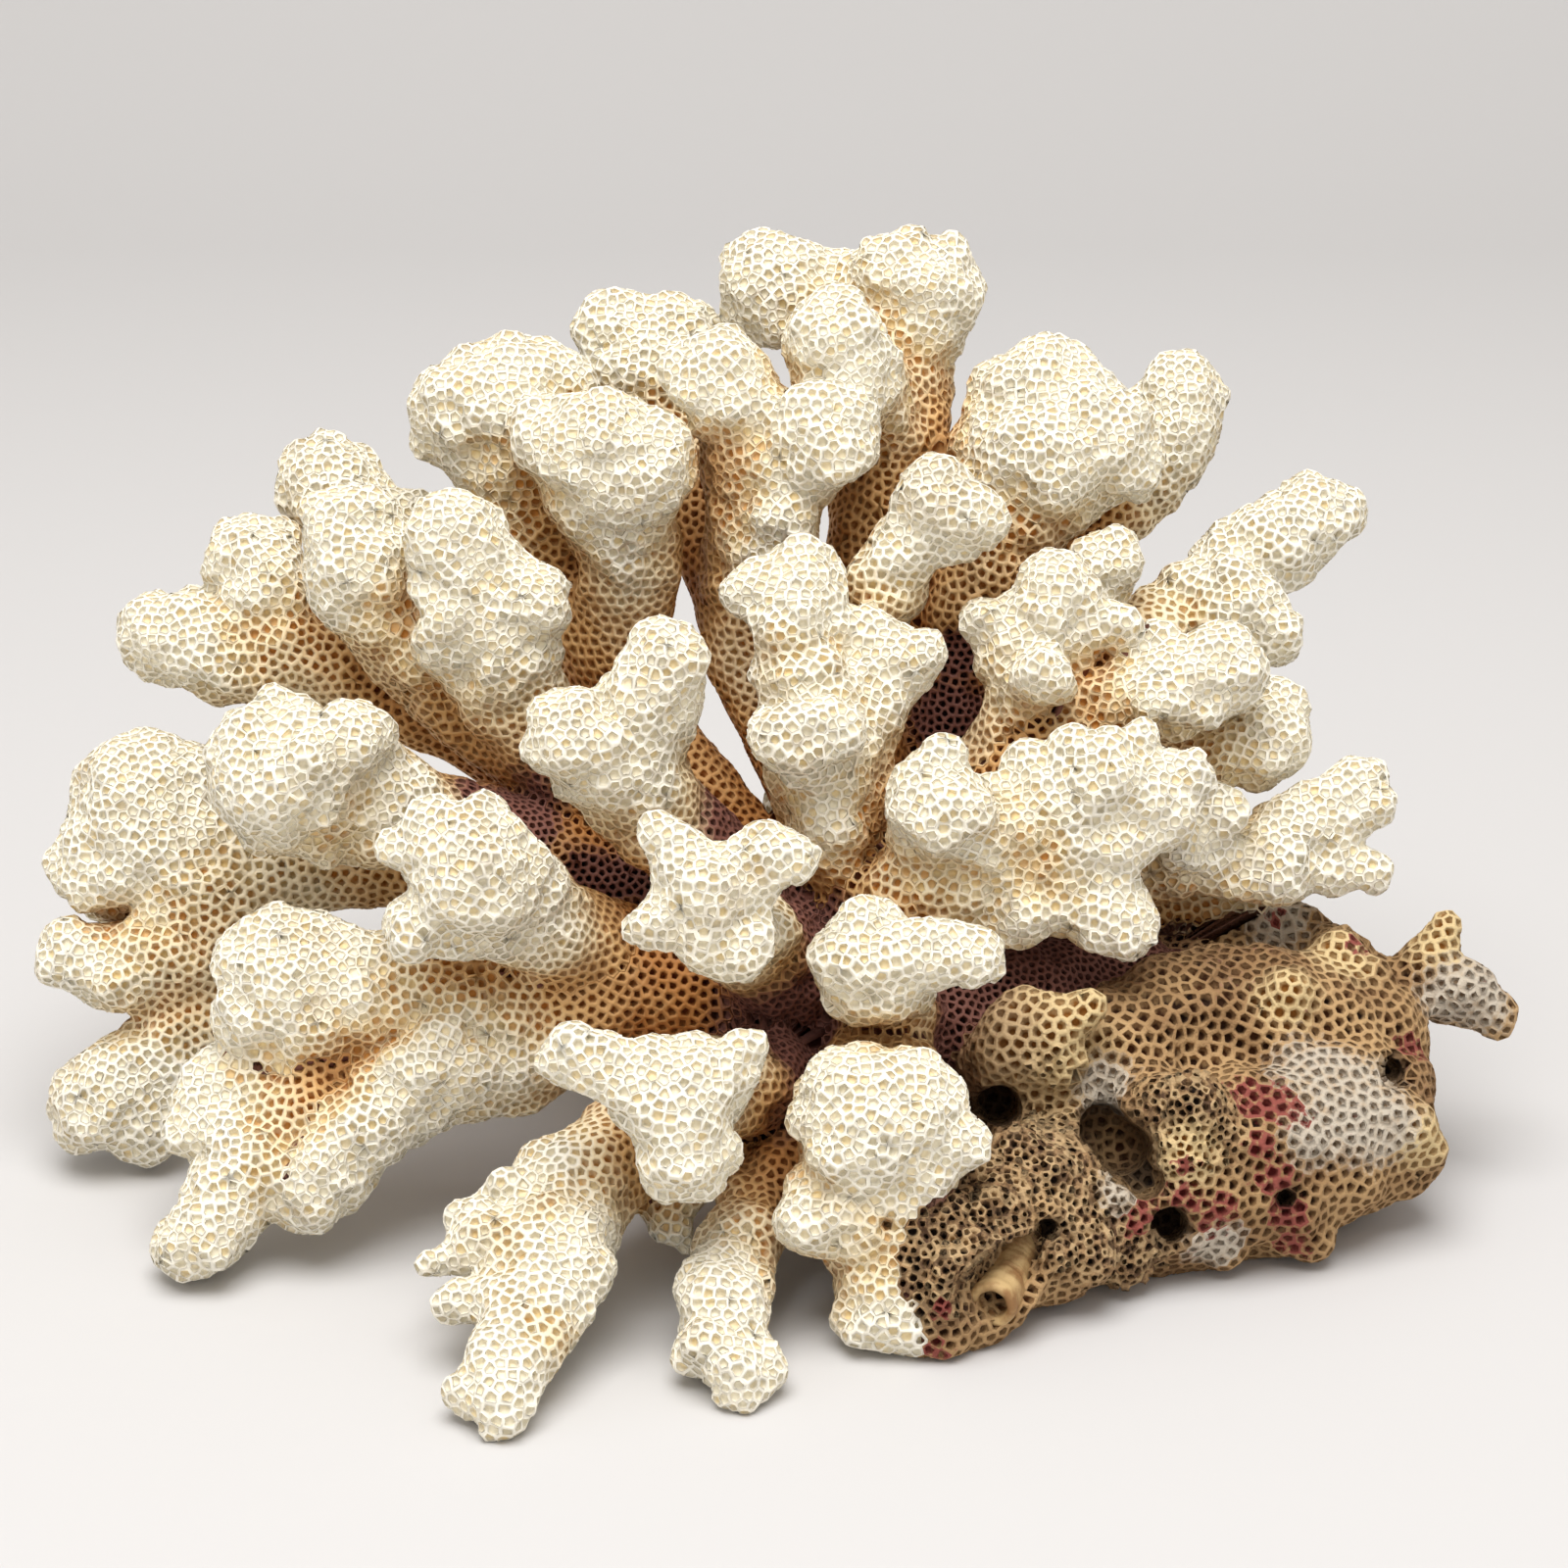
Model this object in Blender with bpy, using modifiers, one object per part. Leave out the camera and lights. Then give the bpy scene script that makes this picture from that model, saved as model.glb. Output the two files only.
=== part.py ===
"""A cauliflower coral colony on its dead, bored foot: one solid for each main branch.

The colony lies as it came off the reef, with the flat cut under its foot and the tips of its
lowest branches on the ground. It is drawn on a sheet, as it looks from the front, from
VIEW_DISTANCE away and VIEW_RISE above the ground. A point of the drawing is (across, down,
forward, radius), all in divisions of the sheet: across and down from the sheet's top left
corner, forward from its middle plane towards the viewer. A limb is a row of such points, and
stands for rounded, tapered rods from each point to the next. `place` turns a point into
metres: +X is the viewer's right, +Y is away from the viewer, +Z is up.
"""

import math

import bmesh
import bpy
from mathutils import Matrix, Vector

# Driving dimensions, in metres unless a name says otherwise.
DIVISION = 0.001 / 8.6  # one division of the drawing
SHEET_MIDDLE = 800  # divisions, across and down
VIEW_DISTANCE = 0.450
VIEW_RISE = math.radians(20)
HEART = Vector((0.0, 0.0054, 0.051))  # where the middle of the sheet lies

REMESH_SIZE = 0.0017  # the grain at which rods melt into one branch
SMOOTHING_ROUNDS = 3
KEPT_TRIANGLES = 0.055  # of the remeshed skin's triangles
GAP = 0.0003  # between neighbouring pieces
CLEARANCE = 0.00036  # what a cutter is fattened by, so that thinning the skin still leaves the gap
SLIVER = 0.000002  # edges shorter than this are closed up
GROUND_DEPTH = 0.04  # of the block that cuts the foot flat
GROUND_WIDTH = 0.4
ROD_SIDES = 16
BORE_SIDES = 20

TUBE_BORE_RADIUS = 0.0016  # of the worm tube, at its mouth
TUBE_BORE_DEPTH = 0.006

CORAL_CREAM = (0.86, 0.74, 0.52)
HEART_MAROON = (0.22, 0.09, 0.07)
FOOT_BROWN = (0.46, 0.32, 0.19)
TUBE_TAN = (0.62, 0.46, 0.27)

LIMBS = {
    # The thick stem that every branch leaves, from the base to the heart of the colony.
    "trunk": [
        [
            (1160, 1020, -110, 62), (1060, 1035, -80, 80), (960, 1040, -60, 92), (870, 1020, -50, 98),
            (790, 1010, -40, 84),
        ],
        [(880, 980, -90, 90), (885, 900, -125, 78), (880, 830, -150, 64)],
        [(870, 1060, -20, 86), (820, 1130, 10, 62)],
    ],
    # The dead, bored foot of the colony, with its broken stubs and knobs.
    "base_rock": [
        [
            (960, 1340, 185, 66), (1010, 1260, 120, 88), (1090, 1230, 85, 88), (1180, 1200, 55, 98),
            (1280, 1180, 25, 108), (1370, 1150, -10, 96),
        ],
        [
            (1060, 1120, 10, 70), (1150, 1080, -10, 84), (1240, 1060, -40, 88), (1330, 1055, -60, 86),
            (1390, 1065, -75, 72),
        ],
        [(1180, 1010, -140, 56), (1250, 985, -165, 58), (1310, 975, -175, 54), (1375, 1010, -160, 50)],
        [(1400, 1030, -110, 40), (1445, 1005, -115, 34), (1490, 1012, -112, 40), (1526, 1036, -108, 28)],
        [(1445, 1000, -112, 28), (1468, 960, -112, 24), (1474, 945, -112, 20)],
        [(1400, 1130, -30, 74), (1425, 1175, -10, 52)],
        [(975, 1290, 195, 78), (1105, 1212, 54, 92), (1240, 1160, -59, 93), (1358, 1105, -188, 84)],
        [(1054, 1158, -59, 90), (1130, 1112, -164, 88), (1241, 1061, -285, 80)],
        [(1020, 1090, 30, 44), (1035, 1060, 70, 42), (1075, 1050, 88, 36), (1112, 1028, 92, 24)],
        [(1060, 1060, 80, 36), (1088, 1088, 88, 22)],
        [(1180, 1140, 80, 50), (1212, 1148, 108, 48)],
        [(1300, 1010, -40, 40), (1315, 1008, -6, 24)],
        [(1360, 985, -120, 40), (1368, 975, -90, 26)],
    ],
    # The tallest branch, ending in three broad heads.
    "crown_branch": [
        [
            (880, 850, -170, 56), (882, 740, -200, 54), (885, 640, -215, 52), (895, 540, -222, 54),
            (910, 450, -225, 56), (925, 370, -228, 50), (928, 300, -230, 58),
        ],
        [(920, 350, -240, 42), (855, 312, -262, 42), (792, 298, -268, 50)],
        [(900, 440, -200, 46), (875, 390, -150, 50), (856, 358, -105, 54)],
        [(950, 280, -228, 36), (960, 310, -225, 28)],
    ],
    # Left of the crown: two forks, four heads and a side knob.
    "inner_left_branch": [
        [
            (850, 850, -190, 48), (805, 760, -225, 46), (765, 670, -215, 48), (765, 590, -185, 50),
            (775, 510, -150, 56), (765, 430, -120, 50), (728, 380, -100, 42),
        ],
        [(790, 500, -130, 50), (838, 442, -75, 50)],
        [
            (755, 620, -220, 46), (722, 540, -250, 44), (700, 450, -268, 42), (665, 380, -275, 50),
            (625, 345, -280, 38),
        ],
        [(680, 370, -270, 44), (690, 335, -275, 26)],
        [(790, 600, -160, 36), (796, 545, -100, 30), (795, 530, -85, 28)],
    ],
    # Two broad heads at the upper left.
    "upper_left_branch": [
        [
            (800, 930, -180, 48), (740, 850, -215, 50), (670, 760, -235, 50), (620, 670, -230, 54),
            (575, 580, -215, 48), (535, 490, -190, 56), (505, 425, -175, 72),
        ],
        [(530, 430, -180, 60), (560, 395, -180, 42)],
        [(630, 660, -200, 50), (645, 570, -150, 54), (625, 500, -110, 58), (612, 460, -85, 58)],
        [(630, 490, -90, 50), (668, 470, -80, 38)],
        [(610, 470, -90, 45), (568, 440, -95, 36)],
    ],
    # Two bright heads leaning left and forward.
    "left_high_branch": [
        [
            (740, 890, -110, 50), (640, 830, -110, 52), (560, 760, -95, 52), (520, 700, -65, 56),
            (497, 630, -30, 54), (465, 555, 0, 48),
        ],
        [(500, 610, -20, 46), (545, 605, 0, 36)],
        [(490, 640, -20, 40), (455, 645, -10, 34)],
        [
            (540, 770, -130, 44), (470, 720, -125, 46), (405, 650, -100, 46), (370, 580, -65, 56),
            (360, 545, -60, 46),
        ],
    ],
    # Behind it, reaching furthest out at the upper left.
    "far_left_branch": [
        [
            (640, 860, -190, 46), (550, 790, -205, 46), (470, 735, -200, 46), (390, 700, -190, 48),
            (310, 665, -185, 54), (235, 662, -180, 52), (172, 653, -175, 42),
        ],
        [(310, 660, -190, 50), (275, 600, -185, 52), (255, 572, -180, 42)],
        [(430, 700, -230, 36), (400, 600, -250, 36), (370, 530, -250, 42), (338, 495, -250, 46)],
        [(370, 530, -250, 38), (405, 525, -250, 26)],
    ],
    # One very broad head with a knob.
    "left_mid_branch": [
        [
            (740, 940, -90, 54), (620, 900, -100, 54), (520, 865, -85, 56), (430, 835, -50, 56),
            (355, 810, -15, 64), (288, 790, 20, 74),
        ],
        [(330, 790, 10, 50), (362, 755, 48, 32)],
    ],
    # Three heads fanned out at the left edge.
    "left_low_branch": [
        [
            (600, 920, -170, 44), (490, 900, -180, 44), (390, 885, -175, 42), (300, 885, -170, 48),
            (215, 895, -165, 64), (158, 855, -165, 76), (150, 815, -165, 64),
        ],
        [(150, 870, -165, 60), (118, 888, -160, 50)],
        [(180, 830, -170, 50), (200, 812, -170, 38)],
        [(240, 920, -165, 50), (190, 975, -145, 54), (130, 990, -138, 46), (78, 972, -138, 26)],
        [(240, 950, -175, 44), (215, 1030, -165, 52), (155, 1090, -150, 50), (95, 1128, -140, 42)],
        [(170, 1110, -150, 40), (150, 1160, -140, 26)],
    ],
    # A head of short fingers that faces the front left.
    "left_star_branch": [
        [(640, 980, -30, 56), (570, 955, 40, 58), (510, 915, 105, 58), (480, 885, 145, 50)],
        [(480, 890, 140, 40), (447, 840, 150, 24)],
        [(485, 880, 140, 34), (492, 838, 150, 20)],
        [(470, 900, 140, 40), (420, 872, 150, 22)],
        [(490, 920, 130, 44), (432, 940, 140, 24)],
        [(500, 930, 120, 46), (470, 952, 130, 22)],
    ],
    # The long level branch and the one that forks down from it.
    "left_trunk_branch": [
        [
            (790, 1005, -40, 80), (690, 1000, -25, 70), (590, 1005, -5, 66), (490, 1015, 10, 62),
            (390, 1012, 28, 60), (305, 1008, 42, 60),
        ],
        [(310, 990, 40, 46), (258, 985, 52, 32)],
        [(310, 1020, 40, 46), (258, 1040, 52, 34)],
        [(330, 990, 36, 46), (285, 958, 44, 28)],
        [(320, 1040, 40, 44), (285, 1075, 48, 24)],
        [
            (600, 1030, -10, 60), (510, 1080, 5, 64), (435, 1092, 28, 56), (385, 1140, 55, 48),
            (345, 1188, 72, 42), (330, 1204, 76, 34),
        ],
        [(460, 1090, 30, 50), (440, 1078, 58, 38)],
    ],
    # Under the long level branch, reaching down to the left.
    "left_under_branch": [
        [
            (480, 1060, -30, 44), (390, 1085, 0, 46), (320, 1110, 25, 48), (275, 1165, 50, 48),
            (240, 1220, 75, 42), (205, 1268, 98, 38),
        ],
        [(300, 1120, 25, 40), (235, 1105, 30, 36), (205, 1112, 32, 28)],
        [(265, 1150, 40, 40), (200, 1140, 45, 26)],
        [(280, 1190, 55, 34), (315, 1235, 66, 20)],
    ],
    # Two blunt heads left of the heart.
    "mid_left_branch": [
        [
            (800, 970, -20, 56), (740, 900, 0, 56), (680, 840, 20, 56), (645, 785, 55, 52),
            (658, 720, 85, 44), (680, 672, 98, 32),
        ],
        [(650, 800, 50, 50), (588, 756, 105, 46)],
    ],
    # The upright column in the middle, capped by a knob that faces forward.
    "centre_branch": [
        [
            (875, 930, -60, 60), (856, 850, -20, 58), (838, 770, 15, 54), (820, 690, 20, 48),
            (815, 610, 12, 44), (816, 595, 12, 38),
        ],
        [(835, 770, 40, 44), (824, 750, 105, 36)],
        [(824, 750, 100, 30), (792, 748, 108, 26)],
        [(824, 750, 100, 30), (854, 745, 108, 26)],
        [(850, 780, 0, 46), (885, 700, -5, 42), (905, 682, 0, 34), (935, 680, 8, 24)],
        [(895, 700, -5, 30), (888, 655, 0, 20)],
        [(815, 620, 12, 30), (775, 610, 12, 18)],
        [(852, 850, 20, 40), (850, 838, 55, 22)],
    ],
    # A slender branch right of the column.
    "high_front_branch": [
        [
            (905, 860, -140, 40), (885, 760, -125, 38), (880, 690, -100, 36), (893, 620, -72, 36),
            (925, 565, -42, 36), (962, 512, -22, 36),
        ],
        [(958, 520, -22, 32), (1000, 522, -18, 24)],
        [(965, 520, -22, 30), (972, 495, -22, 24)],
    ],
    # The mitten-shaped head at the upper right.
    "upper_right_branch": [
        [
            (920, 900, -170, 50), (955, 800, -195, 46), (972, 710, -195, 44), (990, 625, -188, 50),
            (1018, 550, -178, 60), (1050, 475, -165, 74), (1070, 435, -160, 70),
        ],
        [(1060, 470, -160, 66), (1128, 452, -155, 54)],
        [(1060, 450, -160, 56), (1070, 388, -162, 42)],
        [(1040, 420, -162, 40), (1035, 395, -162, 28)],
    ],
    # Behind the mitten-shaped head.
    "far_right_branch": [
        [
            (985, 660, -235, 38), (1050, 600, -250, 38), (1115, 545, -262, 38), (1170, 490, -268, 42),
            (1196, 440, -270, 46), (1208, 405, -270, 38),
        ],
    ],
    # A knobbly head with a knob and a back fork.
    "right_high_branch": [
        [
            (950, 900, -90, 50), (1000, 820, -80, 48), (1040, 750, -65, 50), (1052, 690, -45, 48),
            (1060, 640, -28, 42), (1076, 606, -20, 30),
        ],
        [(1050, 660, -35, 36), (1018, 632, -25, 20)],
        [(1065, 640, -25, 32), (1110, 640, -25, 26), (1140, 642, -22, 18)],
        [(1055, 690, -20, 30), (1064, 682, 28, 24)],
        [(1060, 700, -90, 30), (1095, 630, -100, 28), (1128, 580, -100, 34)],
    ],
    # A long slender branch, forked near its end.
    "right_outer_branch": [
        [
            (1000, 840, -140, 44), (1060, 750, -150, 42), (1110, 690, -155, 40), (1175, 650, -162, 38),
            (1235, 600, -175, 36), (1290, 560, -185, 42), (1325, 535, -190, 38),
        ],
        [(1310, 560, -188, 32), (1362, 522, -192, 20)],
        [(1280, 570, -182, 32), (1248, 565, -180, 22)],
        [(1215, 640, -165, 30), (1275, 620, -145, 36), (1300, 645, -145, 28)],
    ],
    # A forked branch that leans right.
    "right_mid_branch": [
        [
            (1010, 830, -60, 46), (1060, 765, -45, 44), (1120, 730, -38, 42), (1190, 705, -30, 44),
            (1242, 682, -26, 44),
        ],
        [(1180, 705, -30, 32), (1190, 655, -36, 18)],
        [(1180, 710, -10, 28), (1176, 720, 14, 16)],
        [(1070, 790, -80, 36), (1150, 780, -100, 36), (1230, 780, -112, 36), (1290, 765, -112, 34)],
        [(1290, 765, -112, 28), (1308, 715, -114, 18)],
    ],
    # The big fingered branch at the right front, with a star-shaped knob.
    "right_front_branch": [
        [
            (900, 960, -20, 70), (950, 900, 10, 66), (1010, 860, 25, 58), (1075, 838, 45, 48),
            (1122, 805, 68, 40), (1126, 780, 72, 26),
        ],
        [(1050, 830, 45, 30), (1050, 780, 50, 15)],
        [(1110, 820, 60, 34), (1102, 772, 66, 20)],
        [(1130, 810, 60, 34), (1160, 780, 58, 24), (1168, 752, 56, 15)],
        [(1150, 815, 58, 36), (1185, 800, 55, 24), (1210, 785, 50, 18)],
        [(1150, 820, 55, 32), (1185, 830, 50, 24)],
        [(1120, 830, 58, 30), (1142, 862, 62, 18)],
        [(960, 920, 20, 50), (1010, 922, 42, 26), (1042, 928, 55, 20)],
        [(1030, 880, 20, 46), (1095, 905, 38, 38), (1150, 945, 50, 30)],
        [(960, 880, 10, 48), (958, 825, 88, 42)],
        [(958, 822, 88, 34), (962, 778, 92, 18)],
        [(958, 825, 88, 34), (1002, 866, 92, 16)],
        [(958, 822, 88, 34), (920, 828, 92, 18)],
        [(958, 815, 88, 34), (996, 818, 90, 18)],
    ],
    # A low branch to the right, forked at its end.
    "right_low_branch": [
        [
            (1010, 930, -90, 44), (1100, 890, -95, 42), (1190, 880, -90, 38), (1280, 870, -90, 34),
            (1340, 840, -92, 28), (1385, 805, -95, 24),
        ],
        [(1350, 850, -92, 24), (1402, 832, -95, 18)],
        [(1310, 870, -90, 26), (1350, 880, -88, 20), (1398, 888, -88, 14)],
        [(1210, 870, -75, 32), (1238, 828, -50, 26)],
        [(1210, 870, -65, 30), (1202, 856, -30, 24)],
        [(1250, 880, -80, 30), (1305, 898, -65, 20)],
        [(1300, 860, -92, 26), (1330, 822, -92, 20)],
        [(1120, 910, -140, 30), (1200, 928, -150, 24), (1275, 928, -150, 18)],
    ],
    # A star of fingers on a stem that points forward.
    "front_star_branch": [
        [(820, 1010, -10, 66), (780, 975, 70, 54), (745, 945, 160, 48), (722, 922, 225, 42)],
        [(715, 915, 225, 34), (688, 856, 235, 18)],
        [(735, 915, 225, 32), (780, 885, 222, 22), (806, 880, 222, 17)],
        [(715, 930, 225, 34), (658, 948, 232, 22)],
        [(730, 935, 225, 34), (750, 955, 225, 26)],
        [(760, 880, 222, 18), (775, 862, 222, 14)],
    ],
    # A second star, right of the first.
    "centre_star_branch": [
        [(905, 1040, 10, 60), (905, 1010, 90, 48), (905, 985, 175, 42)],
        [(895, 980, 175, 34), (886, 940, 182, 18)],
        [(915, 985, 175, 34), (960, 975, 182, 26), (994, 974, 182, 16)],
        [(890, 1000, 165, 34), (846, 1022, 165, 20)],
        [(880, 990, 175, 34), (868, 985, 188, 28)],
    ],
    # A three-armed head that points straight forward.
    "front_branch": [
        [(800, 1090, 10, 62), (760, 1105, 100, 54), (715, 1115, 190, 50), (690, 1118, 262, 46)],
        [(680, 1110, 262, 42), (625, 1092, 272, 36), (582, 1082, 276, 26)],
        [(705, 1110, 262, 36), (742, 1088, 262, 26), (765, 1066, 262, 18)],
        [(690, 1130, 262, 44), (700, 1180, 268, 40), (692, 1200, 270, 24)],
        [(710, 1160, 265, 34), (742, 1168, 265, 20)],
    ],
    # A long branch down to the ground, with two side fingers.
    "foot_left_branch": [
        [
            (780, 1100, 0, 56), (700, 1130, 50, 54), (640, 1165, 105, 56), (590, 1215, 160, 60),
            (562, 1280, 222, 52), (545, 1350, 288, 46), (518, 1415, 350, 38), (498, 1450, 384, 26),
        ],
        [(560, 1270, 215, 38), (500, 1265, 225, 28), (444, 1284, 245, 16)],
        [(545, 1310, 255, 32), (500, 1318, 262, 22), (456, 1330, 275, 14)],
        [(560, 1220, 170, 44), (505, 1240, 190, 26)],
        [(585, 1270, 235, 34), (600, 1290, 262, 20)],
        [(525, 1400, 345, 24), (474, 1420, 352, 15)],
    ],
    # A thinner branch down to the ground, with a leaf-like flake behind it.
    "foot_mid_branch": [
        [
            (830, 1110, 20, 58), (815, 1180, 70, 48), (780, 1230, 120, 42), (750, 1280, 180, 40),
            (742, 1340, 240, 36), (748, 1395, 300, 34), (748, 1412, 322, 26),
        ],
        [(740, 1320, 220, 30), (734, 1322, 262, 24)],
        [(742, 1370, 270, 28), (726, 1372, 305, 20)],
        [(742, 1380, 285, 26), (705, 1388, 290, 13)],
        [(755, 1395, 300, 24), (780, 1400, 315, 12)],
        [(770, 1170, 50, 34), (700, 1200, 90, 30), (678, 1240, 110, 22), (705, 1285, 125, 14)],
    ],
    # The broad fan over the base, and its foot.
    "front_fan_branch": [
        [(890, 1080, 10, 66), (892, 1110, 90, 62), (892, 1140, 160, 66), (892, 1150, 215, 70)],
        [(892, 1140, 215, 60), (862, 1120, 222, 42)],
        [(900, 1140, 215, 56), (935, 1122, 222, 38)],
        [(910, 1160, 215, 50), (950, 1165, 222, 30), (984, 1160, 226, 18)],
        [(885, 1170, 215, 56), (850, 1215, 222, 40), (826, 1240, 230, 26)],
        [
            (895, 1180, 210, 54), (890, 1240, 205, 50), (890, 1290, 205, 42), (905, 1335, 212, 46),
            (925, 1350, 210, 38),
        ],
        [(900, 1190, 212, 44), (940, 1190, 212, 30)],
    ],
    # A short branch at the back.
    "back_left_branch": [
        [(800, 960, -140, 56), (720, 930, -240, 54), (650, 890, -330, 58), (610, 850, -380, 56)],
        [(650, 880, -330, 46), (690, 850, -400, 42)],
        [(640, 890, -330, 44), (590, 900, -350, 36)],
    ],
    # A short upright branch at the back.
    "back_top_branch": [
        [(870, 900, -200, 56), (868, 830, -300, 54), (862, 770, -380, 58)],
        [(865, 790, -340, 44), (820, 800, -400, 34)],
        [(865, 780, -370, 40), (880, 720, -385, 38)],
    ],
    # A short branch at the back, over the base.
    "back_right_branch": [
        [(970, 990, -130, 54), (1030, 930, -230, 50), (1080, 880, -320, 54), (1110, 860, -370, 46)],
        [(1060, 900, -300, 42), (1010, 870, -350, 38)],
        [(1090, 880, -330, 38), (1140, 890, -330, 32)],
    ],
    # A branch down to the ground at the back.
    "back_foot_branch": [
        [
            (820, 1050, -110, 56), (750, 1050, -210, 50), (690, 1040, -300, 46), (655, 1040, -390, 42),
            (645, 1044, -470, 34),
        ],
    ],
}

# The tube's line, from the rock to its open mouth.
TUBE_LINE = [(1040, 1262, 160, 20), (1030, 1296, 190, 22), (1013, 1332, 222, 26)]

# The pieces that rest on the ground.
GROUNDED = (
    "base_rock", "foot_left_branch", "foot_mid_branch", "back_foot_branch", "front_fan_branch",
)

# Holes that borers and dead branches left in the foot.
PITS = [
    [(1150, 1172, 40, 30), (1148, 1172, 130, 36)],
    [(1022, 1130, 60, 16), (1020, 1130, 150, 18)],
    [(1198, 1256, 20, 15), (1196, 1256, 110, 17)],
]


def place(point):
    """The centre and radius of a drawing point, in metres."""
    across, down, forward, radius = point
    near = 1 - forward * DIVISION / VIEW_DISTANCE
    right = (across - SHEET_MIDDLE) * DIVISION * near
    up = (SHEET_MIDDLE - down) * DIVISION * near
    out = forward * DIVISION
    rise = Vector((0, math.sin(VIEW_RISE), math.cos(VIEW_RISE)))
    ahead = Vector((0, -math.cos(VIEW_RISE), math.sin(VIEW_RISE)))
    return HEART + Vector((right, 0, 0)) + up * rise + out * ahead, radius * DIVISION * near


def add_rod(shape, start, start_radius, end, end_radius):
    """A tapered rod between two balls, closed at both ends."""
    run = end - start
    turn = run.to_track_quat("Z", "Y").to_matrix().to_4x4()
    middle = Matrix.Translation((start + end) / 2) @ turn
    bmesh.ops.create_cone(
        shape, cap_ends=True, segments=ROD_SIDES, radius1=start_radius, radius2=end_radius,
        depth=run.length, matrix=middle,
    )


def limbs_mesh(name, limbs):
    """One mesh of all the balls and rods of some limbs, still overlapping."""
    shape = bmesh.new()
    for limb in limbs:
        spots = [place(point) for point in limb]
        for centre, radius in spots:
            ball = Matrix.Translation(centre)
            bmesh.ops.create_icosphere(shape, subdivisions=2, radius=radius, matrix=ball)
        for (start, start_radius), (end, end_radius) in zip(spots, spots[1:]):
            add_rod(shape, start, start_radius, end, end_radius)
    mesh = bpy.data.meshes.new(name)
    shape.to_mesh(mesh)
    shape.free()
    return mesh


def new_object(name, mesh, collection):
    obj = bpy.data.objects.new(name, mesh)
    collection.objects.link(obj)
    return obj


def as_cutter(obj):
    obj.hide_render = True
    obj.display_type = "WIRE"
    return obj


def melt(obj):
    """Joins overlapping rods into one smooth skin with few faces."""
    skin = obj.modifiers.new("skin", "REMESH")
    skin.mode = "VOXEL"
    skin.voxel_size = REMESH_SIZE
    smooth = obj.modifiers.new("smooth", "SMOOTH")
    smooth.factor = 0.5
    smooth.iterations = SMOOTHING_ROUNDS
    thin = obj.modifiers.new("thin", "DECIMATE")
    thin.ratio = KEPT_TRIANGLES
    thin.use_collapse_triangulate = True


def bake(obj):
    """Replaces an object's mesh by what its modifiers make of it."""
    graph = bpy.context.evaluated_depsgraph_get()
    mesh = bpy.data.meshes.new_from_object(obj.evaluated_get(graph))
    obj.modifiers.clear()
    obj.data = mesh


def cut(obj, cutter):
    difference = obj.modifiers.new("cut by " + cutter.name, "BOOLEAN")
    difference.operation = "DIFFERENCE"
    difference.solver = "MANIFOLD"  # EXACT leaves open edges where thinned skins graze
    difference.object = cutter


def keep_largest(obj):
    """Drops the crumbs that a cut leaves, and keeps the one body with the most faces."""
    shape = bmesh.new()
    shape.from_mesh(obj.data)
    bodies = []
    left = set(shape.faces)
    while left:
        body = {left.pop()}
        edge_of_it = list(body)
        while edge_of_it:
            face = edge_of_it.pop()
            near = {other for edge in face.edges for other in edge.link_faces} & left
            left -= near
            body |= near
            edge_of_it.extend(near)
        bodies.append(body)
    bodies.sort(key=len)
    crumbs = [face for body in bodies[:-1] for face in body]
    bmesh.ops.delete(shape, geom=crumbs, context="FACES")
    bmesh.ops.dissolve_degenerate(shape, dist=SLIVER, edges=shape.edges)
    shape.to_mesh(obj.data)
    shape.free()


def near_boxes(obj, other):
    """Whether the boxes of two objects overlap."""
    corners = [[Vector(c) for c in o.bound_box] for o in (obj, other)]
    lows = [[min(c[i] for c in box) for i in range(3)] for box in corners]
    highs = [[max(c[i] for c in box) for i in range(3)] for box in corners]
    return all(lows[0][i] < highs[1][i] and lows[1][i] < highs[0][i] for i in range(3))


def clearance(obj, collection):
    """A cutter the shape of a piece, fatter all round by the gap."""
    cutter = new_object(obj.name + "_clearance", obj.data.copy(), collection)
    fatter = cutter.modifiers.new("gap", "DISPLACE")
    fatter.strength = CLEARANCE
    fatter.mid_level = 0
    bake(cutter)
    return as_cutter(cutter)


def ground_block(collection):
    """Everything under the ground, which the foot and the lowest tips are cut off by."""
    mesh = bpy.data.meshes.new("ground")
    block = bmesh.new()
    size = Matrix.Diagonal((GROUND_WIDTH, GROUND_WIDTH, GROUND_DEPTH, 1))
    bmesh.ops.create_cube(block, size=1, matrix=size)
    bmesh.ops.translate(block, verts=block.verts, vec=(0, 0, -GROUND_DEPTH / 2))
    block.to_mesh(mesh)
    block.free()
    return as_cutter(new_object("ground", mesh, collection))


def pit_cutter(collection):
    pits = new_object("pits", limbs_mesh("pits", PITS), collection)
    melt(pits)
    bake(pits)
    return as_cutter(pits)


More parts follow.
